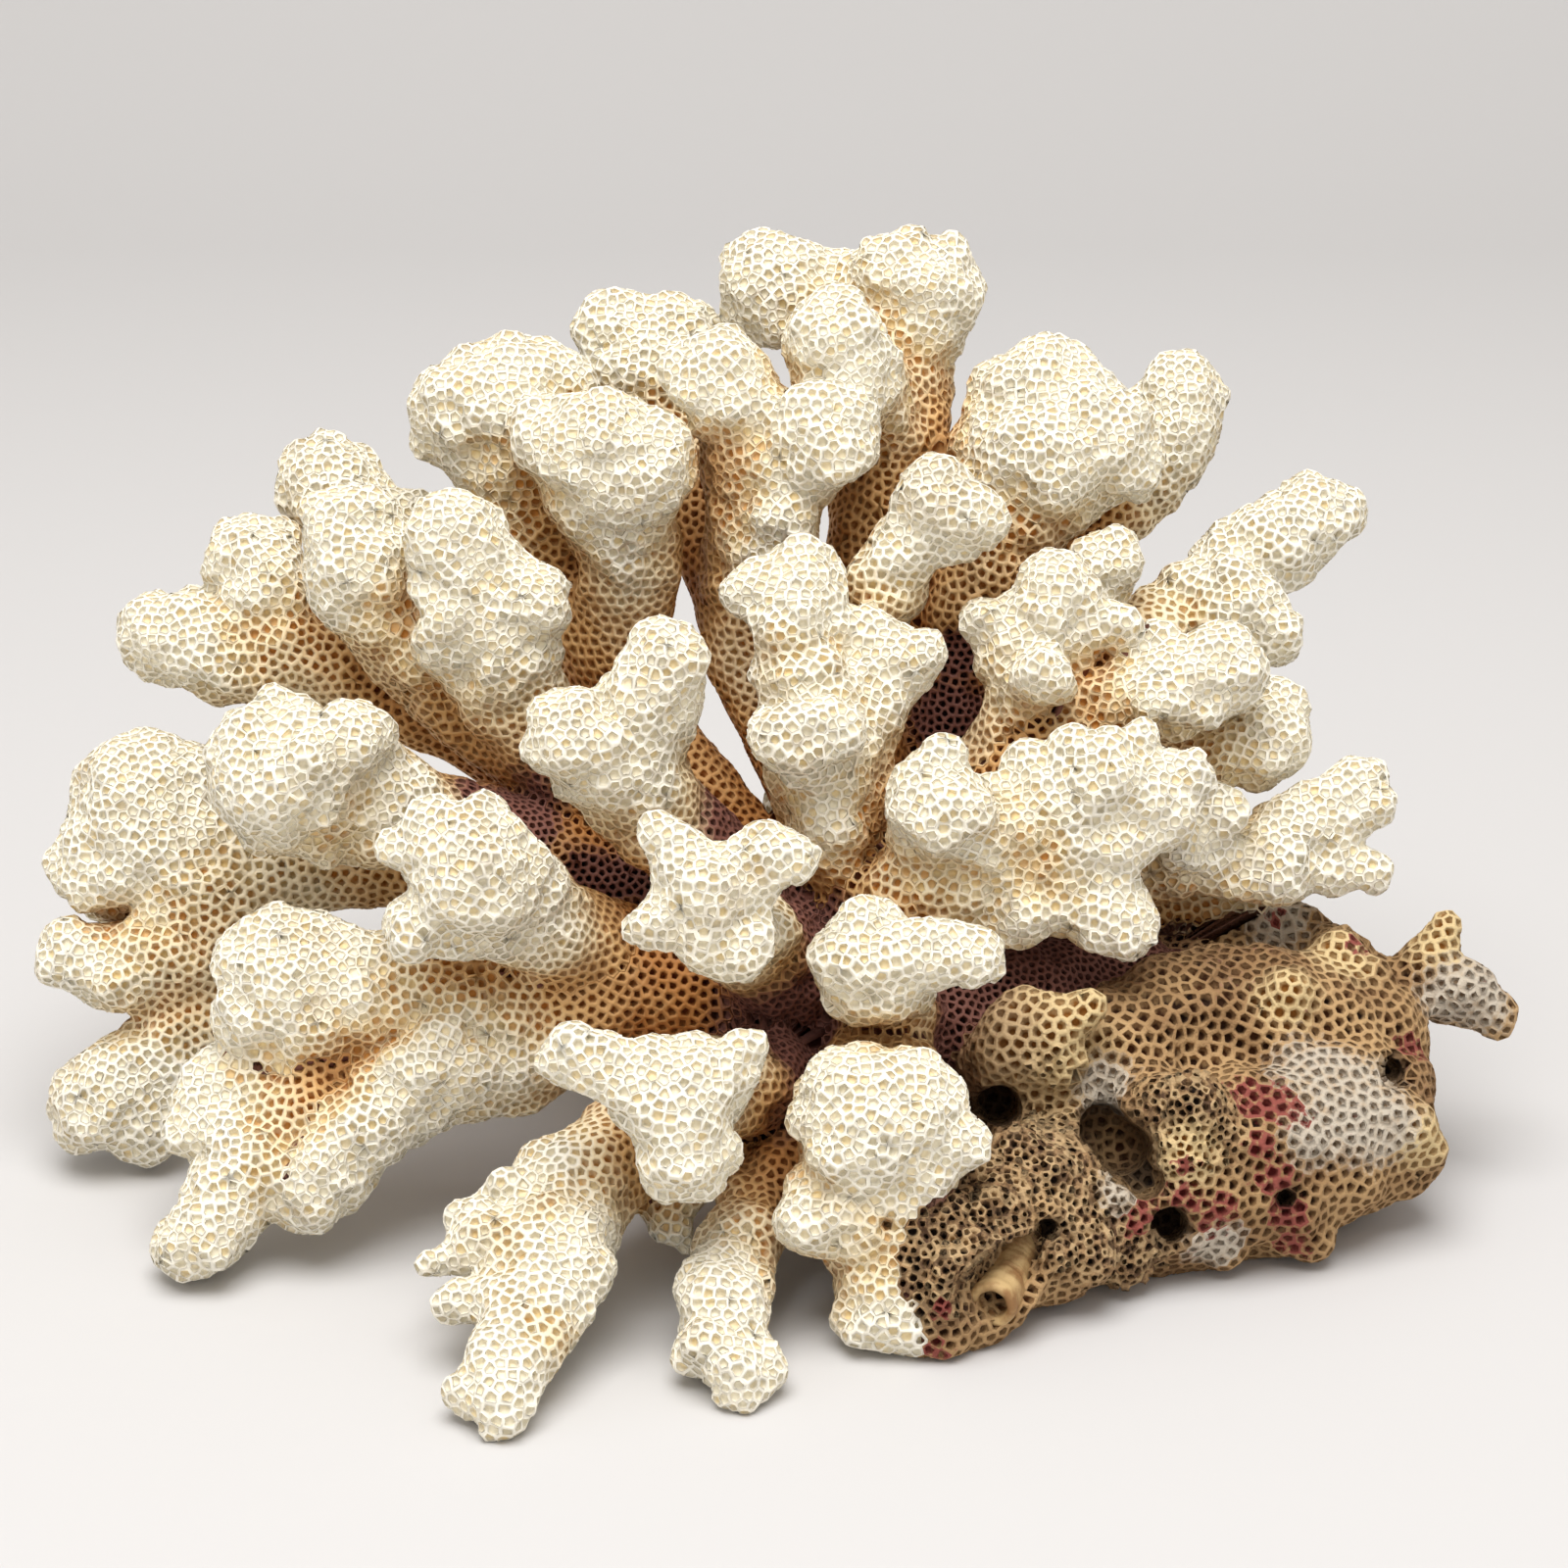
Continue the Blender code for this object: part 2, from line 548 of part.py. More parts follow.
def make_tube(pieces, cutters):
    """The worm tube: a bent, tapered tube with a blind bore in its mouth."""
    spots = [place(point) for point in TUBE_LINE]
    line = bpy.data.curves.new("worm_tube_line", "CURVE")
    line.dimensions = "3D"
    line.bevel_depth = 1
    line.bevel_resolution = 4
    line.use_fill_caps = True
    spline = line.splines.new("POLY")
    spline.points.add(len(spots) - 1)
    for point, (centre, radius) in zip(spline.points, spots):
        point.co = (*centre, 1)
        point.radius = radius
    guide = new_object("worm_tube_line", line, cutters)
    graph = bpy.context.evaluated_depsgraph_get()
    mesh = bpy.data.meshes.new_from_object(guide.evaluated_get(graph))
    bpy.data.objects.remove(guide)
    welded = bmesh.new()
    welded.from_mesh(mesh)
    bmesh.ops.remove_doubles(welded, verts=welded.verts, dist=0.00001)
    bmesh.ops.recalc_face_normals(welded, faces=welded.faces)
    welded.to_mesh(mesh)
    welded.free()
    tube = new_object("worm_tube", mesh, pieces)

    mouth, _ = spots[-1]
    run = (mouth - spots[-2][0]).normalized()
    bore = bmesh.new()
    turn = run.to_track_quat("Z", "Y").to_matrix().to_4x4()
    bmesh.ops.create_cone(
        bore, cap_ends=True, segments=BORE_SIDES, radius1=TUBE_BORE_RADIUS, radius2=TUBE_BORE_RADIUS,
        depth=2 * TUBE_BORE_DEPTH, matrix=Matrix.Translation(mouth) @ turn,
    )
    bore_mesh = bpy.data.meshes.new("tube_bore")
    bore.to_mesh(bore_mesh)
    bore.free()
    cut(tube, as_cutter(new_object("tube_bore", bore_mesh, cutters)))
    bake(tube)
    return tube


def paint(obj, name, colour, roughness):
    material = bpy.data.materials.get(name)
    if material is None:
        material = bpy.data.materials.new(name)
        material.use_nodes = True
        shader = material.node_tree.nodes["Principled BSDF"]
        shader.inputs["Base Color"].default_value = (*colour, 1)
        shader.inputs["Roughness"].default_value = roughness
        shader.inputs["Metallic"].default_value = 0
    obj.data.materials.clear()
    obj.data.materials.append(material)
    obj.data.shade_smooth()


def main():
    for obj in list(bpy.data.objects):
        bpy.data.objects.remove(obj)
    pieces = bpy.data.collections.new("cauliflower_coral")
    cutters = bpy.data.collections.new("cutters")
    bpy.context.scene.collection.children.link(pieces)
    bpy.context.scene.collection.children.link(cutters)
    cutters.hide_render = True

    ground = ground_block(cutters)
    pits = pit_cutter(cutters)
    made = {}
    room = {}
    for name, limbs in LIMBS.items():
        if name == "base_rock":
            made["worm_tube"] = make_tube(pieces, cutters)
            room["worm_tube"] = clearance(made["worm_tube"], cutters)
        obj = new_object(name, limbs_mesh(name, limbs), pieces)
        melt(obj)
        bake(obj)
        room[name] = clearance(obj, cutters)
        # Each piece gives way to those made before it.
        for other in made:
            if near_boxes(obj, room[other]):
                cut(obj, room[other])
        if name == "base_rock":
            cut(obj, pits)
        if name in GROUNDED:
            cut(obj, ground)
        bake(obj)
        keep_largest(obj)
        made[name] = obj

    for name, obj in made.items():
        if name == "trunk":
            paint(obj, "coral_heart", HEART_MAROON, 0.8)
        elif name == "base_rock":
            paint(obj, "dead_foot", FOOT_BROWN, 0.9)
        elif name == "worm_tube":
            paint(obj, "worm_tube", TUBE_TAN, 0.7)
        else:
            paint(obj, "coral_branch", CORAL_CREAM, 0.75)


main()
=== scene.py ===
"""The looks of a cauliflower coral colony on its dead, bored foot.

The colony is drawn on a sheet, as it looks from the front, from VIEW_DISTANCE away and
VIEW_RISE above the ground. A point of the drawing is (across, down, forward, radius), in
divisions of the sheet. A limb is a row of such points. The limbs melt into one skin, knobs
grow on it, and it is divided into cups, the small pits that the polyps lived in.
"""

import math

import bpy
import numpy as np
import openvdb
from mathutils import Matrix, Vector


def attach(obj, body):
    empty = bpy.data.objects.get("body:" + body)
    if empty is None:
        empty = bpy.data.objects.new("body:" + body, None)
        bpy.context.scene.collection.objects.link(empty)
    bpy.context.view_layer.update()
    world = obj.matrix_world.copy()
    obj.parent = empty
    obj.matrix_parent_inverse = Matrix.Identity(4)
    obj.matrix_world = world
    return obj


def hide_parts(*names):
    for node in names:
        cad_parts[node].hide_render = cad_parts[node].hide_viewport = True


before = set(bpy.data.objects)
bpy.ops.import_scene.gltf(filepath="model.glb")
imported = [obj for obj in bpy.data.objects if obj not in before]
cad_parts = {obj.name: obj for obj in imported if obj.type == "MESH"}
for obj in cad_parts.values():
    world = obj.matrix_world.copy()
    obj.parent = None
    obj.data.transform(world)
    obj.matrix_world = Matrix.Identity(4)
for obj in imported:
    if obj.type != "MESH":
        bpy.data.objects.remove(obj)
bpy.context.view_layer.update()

MM = 0.001
DIVISION = 0.001 / 8.6
SHEET_MIDDLE = 800
VIEW_DISTANCE = 0.450
VIEW_RISE = math.radians(20)
HEART = np.array((0.0, 0.0054, 0.051))

LIMBS = {
    # The thick stem that every branch leaves, from the base to the heart of the colony.
    "trunk": [
        [
            (1160, 1020, -110, 62), (1060, 1035, -80, 80), (960, 1040, -60, 92),
            (870, 1020, -50, 98),
            (790, 1010, -40, 84),
        ],
        [(880, 980, -90, 90), (885, 900, -125, 78), (880, 830, -150, 64)],
        [(870, 1060, -20, 86), (820, 1130, 10, 62)],
    ],
    # The dead, bored foot of the colony, with its broken stubs and knobs.
    "base_rock": [
        [
            (960, 1340, 185, 66), (1010, 1260, 120, 88), (1090, 1230, 85, 88), (1180, 1200, 55, 98),
            (1280, 1180, 25, 108), (1370, 1150, -10, 96),
        ],
        [
            (1060, 1120, 10, 70), (1150, 1080, -10, 84), (1240, 1060, -40, 88),
            (1330, 1055, -60, 86),
            (1390, 1065, -75, 72),
        ],
        [(1180, 1010, -140, 56), (1250, 985, -165, 58), (1310, 975, -175, 54),
         (1375, 1010, -160, 50)],
        [(1400, 1030, -110, 40), (1445, 1005, -115, 34), (1490, 1012, -112, 40),
         (1526, 1036, -108, 28)],
        [(1445, 1000, -112, 28), (1468, 960, -112, 24), (1474, 945, -112, 20)],
        [(1400, 1130, -30, 74), (1425, 1175, -10, 52)],
        [(975, 1290, 195, 78), (1105, 1212, 54, 92), (1240, 1160, -59, 93), (1358, 1105, -188, 84)],
        [(1054, 1158, -59, 90), (1130, 1112, -164, 88), (1241, 1061, -285, 80)],
        [(1020, 1090, 30, 44), (1035, 1060, 70, 42), (1075, 1050, 88, 36), (1112, 1028, 92, 24)],
        [(1060, 1060, 80, 36), (1088, 1088, 88, 22)],
        [(1180, 1140, 80, 50), (1212, 1148, 108, 48)],
        [(1300, 1010, -40, 40), (1315, 1008, -6, 24)],
        [(1360, 985, -120, 40), (1368, 975, -90, 26)],
    ],
    # The tallest branch, ending in three broad heads.
    "crown_branch": [
        [
            (880, 850, -170, 56), (882, 740, -200, 54), (885, 640, -215, 52), (895, 540, -222, 54),
            (910, 450, -225, 56), (925, 370, -228, 50), (928, 300, -230, 58),
        ],
        [(920, 350, -240, 42), (855, 312, -262, 42), (792, 298, -268, 50)],
        [(900, 440, -200, 46), (875, 390, -150, 50), (856, 358, -105, 54)],
        [(950, 280, -228, 36), (960, 310, -225, 28)],
    ],
    # Left of the crown: two forks, four heads and a side knob.
    "inner_left_branch": [
        [
            (850, 850, -190, 48), (805, 760, -225, 46), (765, 670, -215, 48), (765, 590, -185, 50),
            (775, 510, -150, 56), (765, 430, -120, 50), (728, 380, -100, 42),
        ],
        [(790, 500, -130, 50), (838, 442, -75, 50)],
        [
            (755, 620, -220, 46), (722, 540, -250, 44), (700, 450, -268, 42), (665, 380, -275, 50),
            (625, 345, -280, 38),
        ],
        [(680, 370, -270, 44), (690, 335, -275, 26)],
        [(790, 600, -160, 36), (796, 545, -100, 30), (795, 530, -85, 28)],
    ],
    # Two broad heads at the upper left.
    "upper_left_branch": [
        [
            (800, 930, -180, 48), (740, 850, -215, 50), (670, 760, -235, 50), (620, 670, -230, 54),
            (575, 580, -215, 48), (535, 490, -190, 56), (505, 425, -175, 72),
        ],
        [(530, 430, -180, 60), (560, 395, -180, 42)],
        [(630, 660, -200, 50), (645, 570, -150, 54), (625, 500, -110, 58), (612, 460, -85, 58)],
        [(630, 490, -90, 50), (668, 470, -80, 38)],
        [(610, 470, -90, 45), (568, 440, -95, 36)],
    ],
    # Two bright heads leaning left and forward.
    "left_high_branch": [
        [
            (740, 890, -110, 50), (640, 830, -110, 52), (560, 760, -95, 52), (520, 700, -65, 56),
            (497, 630, -30, 54), (465, 555, 0, 48),
        ],
        [(500, 610, -20, 46), (545, 605, 0, 36)],
        [(490, 640, -20, 40), (455, 645, -10, 34)],
        [
            (540, 770, -130, 44), (470, 720, -125, 46), (405, 650, -100, 46), (370, 580, -65, 56),
            (360, 545, -60, 46),
        ],
    ],
    # Behind it, reaching furthest out at the upper left.
    "far_left_branch": [
        [
            (640, 860, -190, 46), (550, 790, -205, 46), (470, 735, -200, 46), (390, 700, -190, 48),
            (310, 665, -185, 54), (235, 662, -180, 52), (172, 653, -175, 42),
        ],
        [(310, 660, -190, 50), (275, 600, -185, 52), (255, 572, -180, 42)],
        [(430, 700, -230, 36), (400, 600, -250, 36), (370, 530, -250, 42), (338, 495, -250, 46)],
        [(370, 530, -250, 38), (405, 525, -250, 26)],
    ],
    # One very broad head with a knob.
    "left_mid_branch": [
        [
            (740, 940, -90, 54), (620, 900, -100, 54), (520, 865, -85, 56), (430, 835, -50, 56),
            (355, 810, -15, 64), (288, 790, 20, 74),
        ],
        [(330, 790, 10, 50), (362, 755, 48, 32)],
    ],
    # Three heads fanned out at the left edge.
    "left_low_branch": [
        [
            (600, 920, -170, 44), (490, 900, -180, 44), (390, 885, -175, 42), (300, 885, -170, 48),
            (215, 895, -165, 64), (158, 855, -165, 76), (150, 815, -165, 64),
        ],
        [(150, 870, -165, 60), (118, 888, -160, 50)],
        [(180, 830, -170, 50), (200, 812, -170, 38)],
        [(240, 920, -165, 50), (190, 975, -145, 54), (130, 990, -138, 46), (78, 972, -138, 26)],
        [(240, 950, -175, 44), (215, 1030, -165, 52), (155, 1090, -150, 50), (95, 1128, -140, 42)],
        [(170, 1110, -150, 40), (150, 1160, -140, 26)],
    ],
    # A head of short fingers that faces the front left.
    "left_star_branch": [
        [(640, 980, -30, 56), (570, 955, 40, 58), (510, 915, 105, 58), (480, 885, 145, 50)],
        [(480, 890, 140, 40), (447, 840, 150, 24)],
        [(485, 880, 140, 34), (492, 838, 150, 20)],
        [(470, 900, 140, 40), (420, 872, 150, 22)],
        [(490, 920, 130, 44), (432, 940, 140, 24)],
        [(500, 930, 120, 46), (470, 952, 130, 22)],
    ],
    # The long level branch and the one that forks down from it.
    "left_trunk_branch": [
        [
            (790, 1005, -40, 80), (690, 1000, -25, 70), (590, 1005, -5, 66), (490, 1015, 10, 62),
            (390, 1012, 28, 60), (305, 1008, 42, 60),
        ],
        [(310, 990, 40, 46), (258, 985, 52, 32)],
        [(310, 1020, 40, 46), (258, 1040, 52, 34)],
        [(330, 990, 36, 46), (285, 958, 44, 28)],
        [(320, 1040, 40, 44), (285, 1075, 48, 24)],
        [
            (600, 1030, -10, 60), (510, 1080, 5, 64), (435, 1092, 28, 56), (385, 1140, 55, 48),
            (345, 1188, 72, 42), (330, 1204, 76, 34),
        ],
        [(460, 1090, 30, 50), (440, 1078, 58, 38)],
    ],
    # Under the long level branch, reaching down to the left.
    "left_under_branch": [
        [
            (480, 1060, -30, 44), (390, 1085, 0, 46), (320, 1110, 25, 48), (275, 1165, 50, 48),
            (240, 1220, 75, 42), (205, 1268, 98, 38),
        ],
        [(300, 1120, 25, 40), (235, 1105, 30, 36), (205, 1112, 32, 28)],
        [(265, 1150, 40, 40), (200, 1140, 45, 26)],
        [(280, 1190, 55, 34), (315, 1235, 66, 20)],
    ],
    # Two blunt heads left of the heart.
    "mid_left_branch": [
        [
            (800, 970, -20, 56), (740, 900, 0, 56), (680, 840, 20, 56), (645, 785, 55, 52),
            (658, 720, 85, 44), (680, 672, 98, 32),
        ],
        [(650, 800, 50, 50), (588, 756, 105, 46)],
    ],
    # The upright column in the middle, capped by a knob that faces forward.
    "centre_branch": [
        [
            (875, 930, -60, 60), (856, 850, -20, 58), (838, 770, 15, 54), (820, 690, 20, 48),
            (815, 610, 12, 44), (816, 595, 12, 38),
        ],
        [(835, 770, 40, 44), (824, 750, 105, 36)],
        [(824, 750, 100, 30), (792, 748, 108, 26)],
        [(824, 750, 100, 30), (854, 745, 108, 26)],
        [(850, 780, 0, 46), (885, 700, -5, 42), (905, 682, 0, 34), (935, 680, 8, 24)],
        [(895, 700, -5, 30), (888, 655, 0, 20)],
        [(815, 620, 12, 30), (775, 610, 12, 18)],
        [(852, 850, 20, 40), (850, 838, 55, 22)],
    ],
    # A slender branch right of the column.
    "high_front_branch": [
        [
            (905, 860, -140, 40), (885, 760, -125, 38), (880, 690, -100, 36), (893, 620, -72, 36),
            (925, 565, -42, 36), (962, 512, -22, 36),
        ],
        [(958, 520, -22, 32), (1000, 522, -18, 24)],
        [(965, 520, -22, 30), (972, 495, -22, 24)],
    ],
    # The mitten-shaped head at the upper right.
    "upper_right_branch": [
        [
            (920, 900, -170, 50), (955, 800, -195, 46), (972, 710, -195, 44), (990, 625, -188, 50),
            (1018, 550, -178, 60), (1050, 475, -165, 74), (1070, 435, -160, 70),
        ],
        [(1060, 470, -160, 66), (1128, 452, -155, 54)],
        [(1060, 450, -160, 56), (1070, 388, -162, 42)],
        [(1040, 420, -162, 40), (1035, 395, -162, 28)],
    ],
    # Behind the mitten-shaped head.
    "far_right_branch": [
        [
            (985, 660, -235, 38), (1050, 600, -250, 38), (1115, 545, -262, 38),
            (1170, 490, -268, 42),
            (1196, 440, -270, 46), (1208, 405, -270, 38),
        ],
    ],
    # A knobbly head with a knob and a back fork.
    "right_high_branch": [
        [
            (950, 900, -90, 50), (1000, 820, -80, 48), (1040, 750, -65, 50), (1052, 690, -45, 48),
            (1060, 640, -28, 42), (1076, 606, -20, 30),
        ],
        [(1050, 660, -35, 36), (1018, 632, -25, 20)],
        [(1065, 640, -25, 32), (1110, 640, -25, 26), (1140, 642, -22, 18)],
        [(1055, 690, -20, 30), (1064, 682, 28, 24)],
        [(1060, 700, -90, 30), (1095, 630, -100, 28), (1128, 580, -100, 34)],
    ],
    # A long slender branch, forked near its end.
    "right_outer_branch": [
        [
            (1000, 840, -140, 44), (1060, 750, -150, 42), (1110, 690, -155, 40),
            (1175, 650, -162, 38),
            (1235, 600, -175, 36), (1290, 560, -185, 42), (1325, 535, -190, 38),
        ],
        [(1310, 560, -188, 32), (1362, 522, -192, 20)],
        [(1280, 570, -182, 32), (1248, 565, -180, 22)],
        [(1215, 640, -165, 30), (1275, 620, -145, 36), (1300, 645, -145, 28)],
    ],
    # A forked branch that leans right.
    "right_mid_branch": [
        [
            (1010, 830, -60, 46), (1060, 765, -45, 44), (1120, 730, -38, 42), (1190, 705, -30, 44),
            (1242, 682, -26, 44),
        ],
        [(1180, 705, -30, 32), (1190, 655, -36, 18)],
        [(1180, 710, -10, 28), (1176, 720, 14, 16)],
        [(1070, 790, -80, 36), (1150, 780, -100, 36), (1230, 780, -112, 36), (1290, 765, -112, 34)],
        [(1290, 765, -112, 28), (1308, 715, -114, 18)],
    ],
    # The big fingered branch at the right front, with a star-shaped knob.
    "right_front_branch": [
        [
            (900, 960, -20, 70), (950, 900, 10, 66), (1010, 860, 25, 58), (1075, 838, 45, 48),
            (1122, 805, 68, 40), (1126, 780, 72, 26),
        ],
        [(1050, 830, 45, 30), (1050, 780, 50, 15)],
        [(1110, 820, 60, 34), (1102, 772, 66, 20)],
        [(1130, 810, 60, 34), (1160, 780, 58, 24), (1168, 752, 56, 15)],
        [(1150, 815, 58, 36), (1185, 800, 55, 24), (1210, 785, 50, 18)],
        [(1150, 820, 55, 32), (1185, 830, 50, 24)],
        [(1120, 830, 58, 30), (1142, 862, 62, 18)],
        [(960, 920, 20, 50), (1010, 922, 42, 26), (1042, 928, 55, 20)],
        [(1030, 880, 20, 46), (1095, 905, 38, 38), (1150, 945, 50, 30)],
        [(960, 880, 10, 48), (958, 825, 88, 42)],
        [(958, 822, 88, 34), (962, 778, 92, 18)],
        [(958, 825, 88, 34), (1002, 866, 92, 16)],
        [(958, 822, 88, 34), (920, 828, 92, 18)],
        [(958, 815, 88, 34), (996, 818, 90, 18)],
    ],
    # A low branch to the right, forked at its end.
    "right_low_branch": [
        [
            (1010, 930, -90, 44), (1100, 890, -95, 42), (1190, 880, -90, 38), (1280, 870, -90, 34),
            (1340, 840, -92, 28), (1385, 805, -95, 24),
        ],
        [(1350, 850, -92, 24), (1402, 832, -95, 18)],
        [(1310, 870, -90, 26), (1350, 880, -88, 20), (1398, 888, -88, 14)],
        [(1210, 870, -75, 32), (1238, 828, -50, 26)],
        [(1210, 870, -65, 30), (1202, 856, -30, 24)],
        [(1250, 880, -80, 30), (1305, 898, -65, 20)],
        [(1300, 860, -92, 26), (1330, 822, -92, 20)],
        [(1120, 910, -140, 30), (1200, 928, -150, 24), (1275, 928, -150, 18)],
    ],
    # A star of fingers on a stem that points forward.
    "front_star_branch": [
        [(820, 1010, -10, 66), (780, 975, 70, 54), (745, 945, 160, 48), (722, 922, 225, 42)],
        [(715, 915, 225, 34), (688, 856, 235, 18)],
        [(735, 915, 225, 32), (780, 885, 222, 22), (806, 880, 222, 17)],
        [(715, 930, 225, 34), (658, 948, 232, 22)],
        [(730, 935, 225, 34), (750, 955, 225, 26)],
        [(760, 880, 222, 18), (775, 862, 222, 14)],
    ],
    # A second star, right of the first.
    "centre_star_branch": [
        [(905, 1040, 10, 60), (905, 1010, 90, 48), (905, 985, 175, 42)],
        [(895, 980, 175, 34), (886, 940, 182, 18)],
        [(915, 985, 175, 34), (960, 975, 182, 26), (994, 974, 182, 16)],
        [(890, 1000, 165, 34), (846, 1022, 165, 20)],
        [(880, 990, 175, 34), (868, 985, 188, 28)],
    ],
    # A three-armed head that points straight forward.
    "front_branch": [
        [(800, 1090, 10, 62), (760, 1105, 100, 54), (715, 1115, 190, 50), (690, 1118, 262, 46)],
        [(680, 1110, 262, 42), (625, 1092, 272, 36), (582, 1082, 276, 26)],
        [(705, 1110, 262, 36), (742, 1088, 262, 26), (765, 1066, 262, 18)],
        [(690, 1130, 262, 44), (700, 1180, 268, 40), (692, 1200, 270, 24)],
        [(710, 1160, 265, 34), (742, 1168, 265, 20)],
    ],
    # A long branch down to the ground, with two side fingers.
    "foot_left_branch": [
        [
            (780, 1100, 0, 56), (700, 1130, 50, 54), (640, 1165, 105, 56), (590, 1215, 160, 60),
            (562, 1280, 222, 52), (545, 1350, 288, 46), (518, 1415, 350, 38), (498, 1450, 384, 26),
        ],
        [(560, 1270, 215, 38), (500, 1265, 225, 28), (444, 1284, 245, 16)],
        [(545, 1310, 255, 32), (500, 1318, 262, 22), (456, 1330, 275, 14)],
        [(560, 1220, 170, 44), (505, 1240, 190, 26)],
        [(585, 1270, 235, 34), (600, 1290, 262, 20)],
        [(525, 1400, 345, 24), (474, 1420, 352, 15)],
    ],
    # A thinner branch down to the ground, with a leaf-like flake behind it.
    "foot_mid_branch": [
        [
            (830, 1110, 20, 58), (815, 1180, 70, 48), (780, 1230, 120, 42), (750, 1280, 180, 40),
            (742, 1340, 240, 36), (748, 1395, 300, 34), (748, 1412, 322, 26),
        ],
        [(740, 1320, 220, 30), (734, 1322, 262, 24)],
        [(742, 1370, 270, 28), (726, 1372, 305, 20)],
        [(742, 1380, 285, 26), (705, 1388, 290, 13)],
        [(755, 1395, 300, 24), (780, 1400, 315, 12)],
        [(770, 1170, 50, 34), (700, 1200, 90, 30), (678, 1240, 110, 22), (705, 1285, 125, 14)],
    ],
    # The broad fan over the base, and its foot.
    "front_fan_branch": [
        [(890, 1080, 10, 66), (892, 1110, 90, 62), (892, 1140, 160, 66), (892, 1150, 215, 70)],
        [(892, 1140, 215, 60), (862, 1120, 222, 42)],
        [(900, 1140, 215, 56), (935, 1122, 222, 38)],
        [(910, 1160, 215, 50), (950, 1165, 222, 30), (984, 1160, 226, 18)],
        [(885, 1170, 215, 56), (850, 1215, 222, 40), (826, 1240, 230, 26)],
        [
            (895, 1180, 210, 54), (890, 1240, 205, 50), (890, 1290, 205, 42), (905, 1335, 212, 46),
            (925, 1350, 210, 38),
        ],
        [(900, 1190, 212, 44), (940, 1190, 212, 30)],
    ],
    # A short branch at the back.
    "back_left_branch": [
        [(800, 960, -140, 56), (720, 930, -240, 54), (650, 890, -330, 58), (610, 850, -380, 56)],
        [(650, 880, -330, 46), (690, 850, -400, 42)],
        [(640, 890, -330, 44), (590, 900, -350, 36)],
    ],
    # A short upright branch at the back.
    "back_top_branch": [
        [(870, 900, -200, 56), (868, 830, -300, 54), (862, 770, -380, 58)],
        [(865, 790, -340, 44), (820, 800, -400, 34)],
        [(865, 780, -370, 40), (880, 720, -385, 38)],
    ],
    # A short branch at the back, over the base.
    "back_right_branch": [
        [(970, 990, -130, 54), (1030, 930, -230, 50), (1080, 880, -320, 54), (1110, 860, -370, 46)],
        [(1060, 900, -300, 42), (1010, 870, -350, 38)],
        [(1090, 880, -330, 38), (1140, 890, -330, 32)],
    ],
    # A branch down to the ground at the back.
    "back_foot_branch": [
        [
            (820, 1050, -110, 56), (750, 1050, -210, 50), (690, 1040, -300, 46),
            (655, 1040, -390, 42),
            (645, 1044, -470, 34),
        ],
    ],
}

class Socket:
    """An output of a node, which can stand in a sum."""

    def __init__(self, tree, output):
        self.tree = tree
        self.output = output

    def math(self, operation, *others):
        inputs = dict(enumerate((self, *others)))
        return self.tree.node("ShaderNodeMath", {"operation": operation}, inputs)

    def clamped(self):
        return self.tree.node("ShaderNodeClamp", None, {"Value": self})

    def __add__(self, other):
        return self.math("ADD", other)

    __radd__ = __add__

    def __sub__(self, other):
        return self.math("SUBTRACT", other)

    def __rsub__(self, other):
        return self.tree.node("ShaderNodeMath", {"operation": "SUBTRACT"}, {0: other, 1: self})

    def __mul__(self, other):
        return self.math("MULTIPLY", other)

    __rmul__ = __mul__

    def __truediv__(self, other):
        return self.math("DIVIDE", other)

    def __gt__(self, other):
        return self.math("GREATER_THAN", other)


class Tree:
    """A node tree that is written as expressions."""

    def __init__(self, tree):
        self.tree = tree
        self.last = None

    def node(self, kind, settings=None, inputs=None, out=0):
        """Puts a node in the tree, settings first, and gives one of its outputs."""
        made = self.tree.nodes.new(kind)
        for name, value in (settings or {}).items():
            if name == "stops":
                ramp = made.color_ramp.elements
                while len(ramp) < len(value):
                    ramp.new(1.0)
                for stop, (spot, colour) in zip(ramp, value):
                    stop.position = spot
                    stop.color = (*colour, 1.0)
            else:
                setattr(made, name, value)
        for name, value in (inputs or {}).items():
            if isinstance(value, Socket):
                self.tree.links.new(value.output, made.inputs[name])
            else:
                made.inputs[name].default_value = value
        self.last = made
        return Socket(self, made.outputs[out]) if made.outputs else None

    def vector(self, operation, first, second=None, scale=None, out=0):
        inputs = {0: first}
        if second is not None:
            inputs[1] = second
        if scale is not None:
            inputs["Scale"] = scale
        return self.node("ShaderNodeVectorMath", {"operation": operation}, inputs, out)


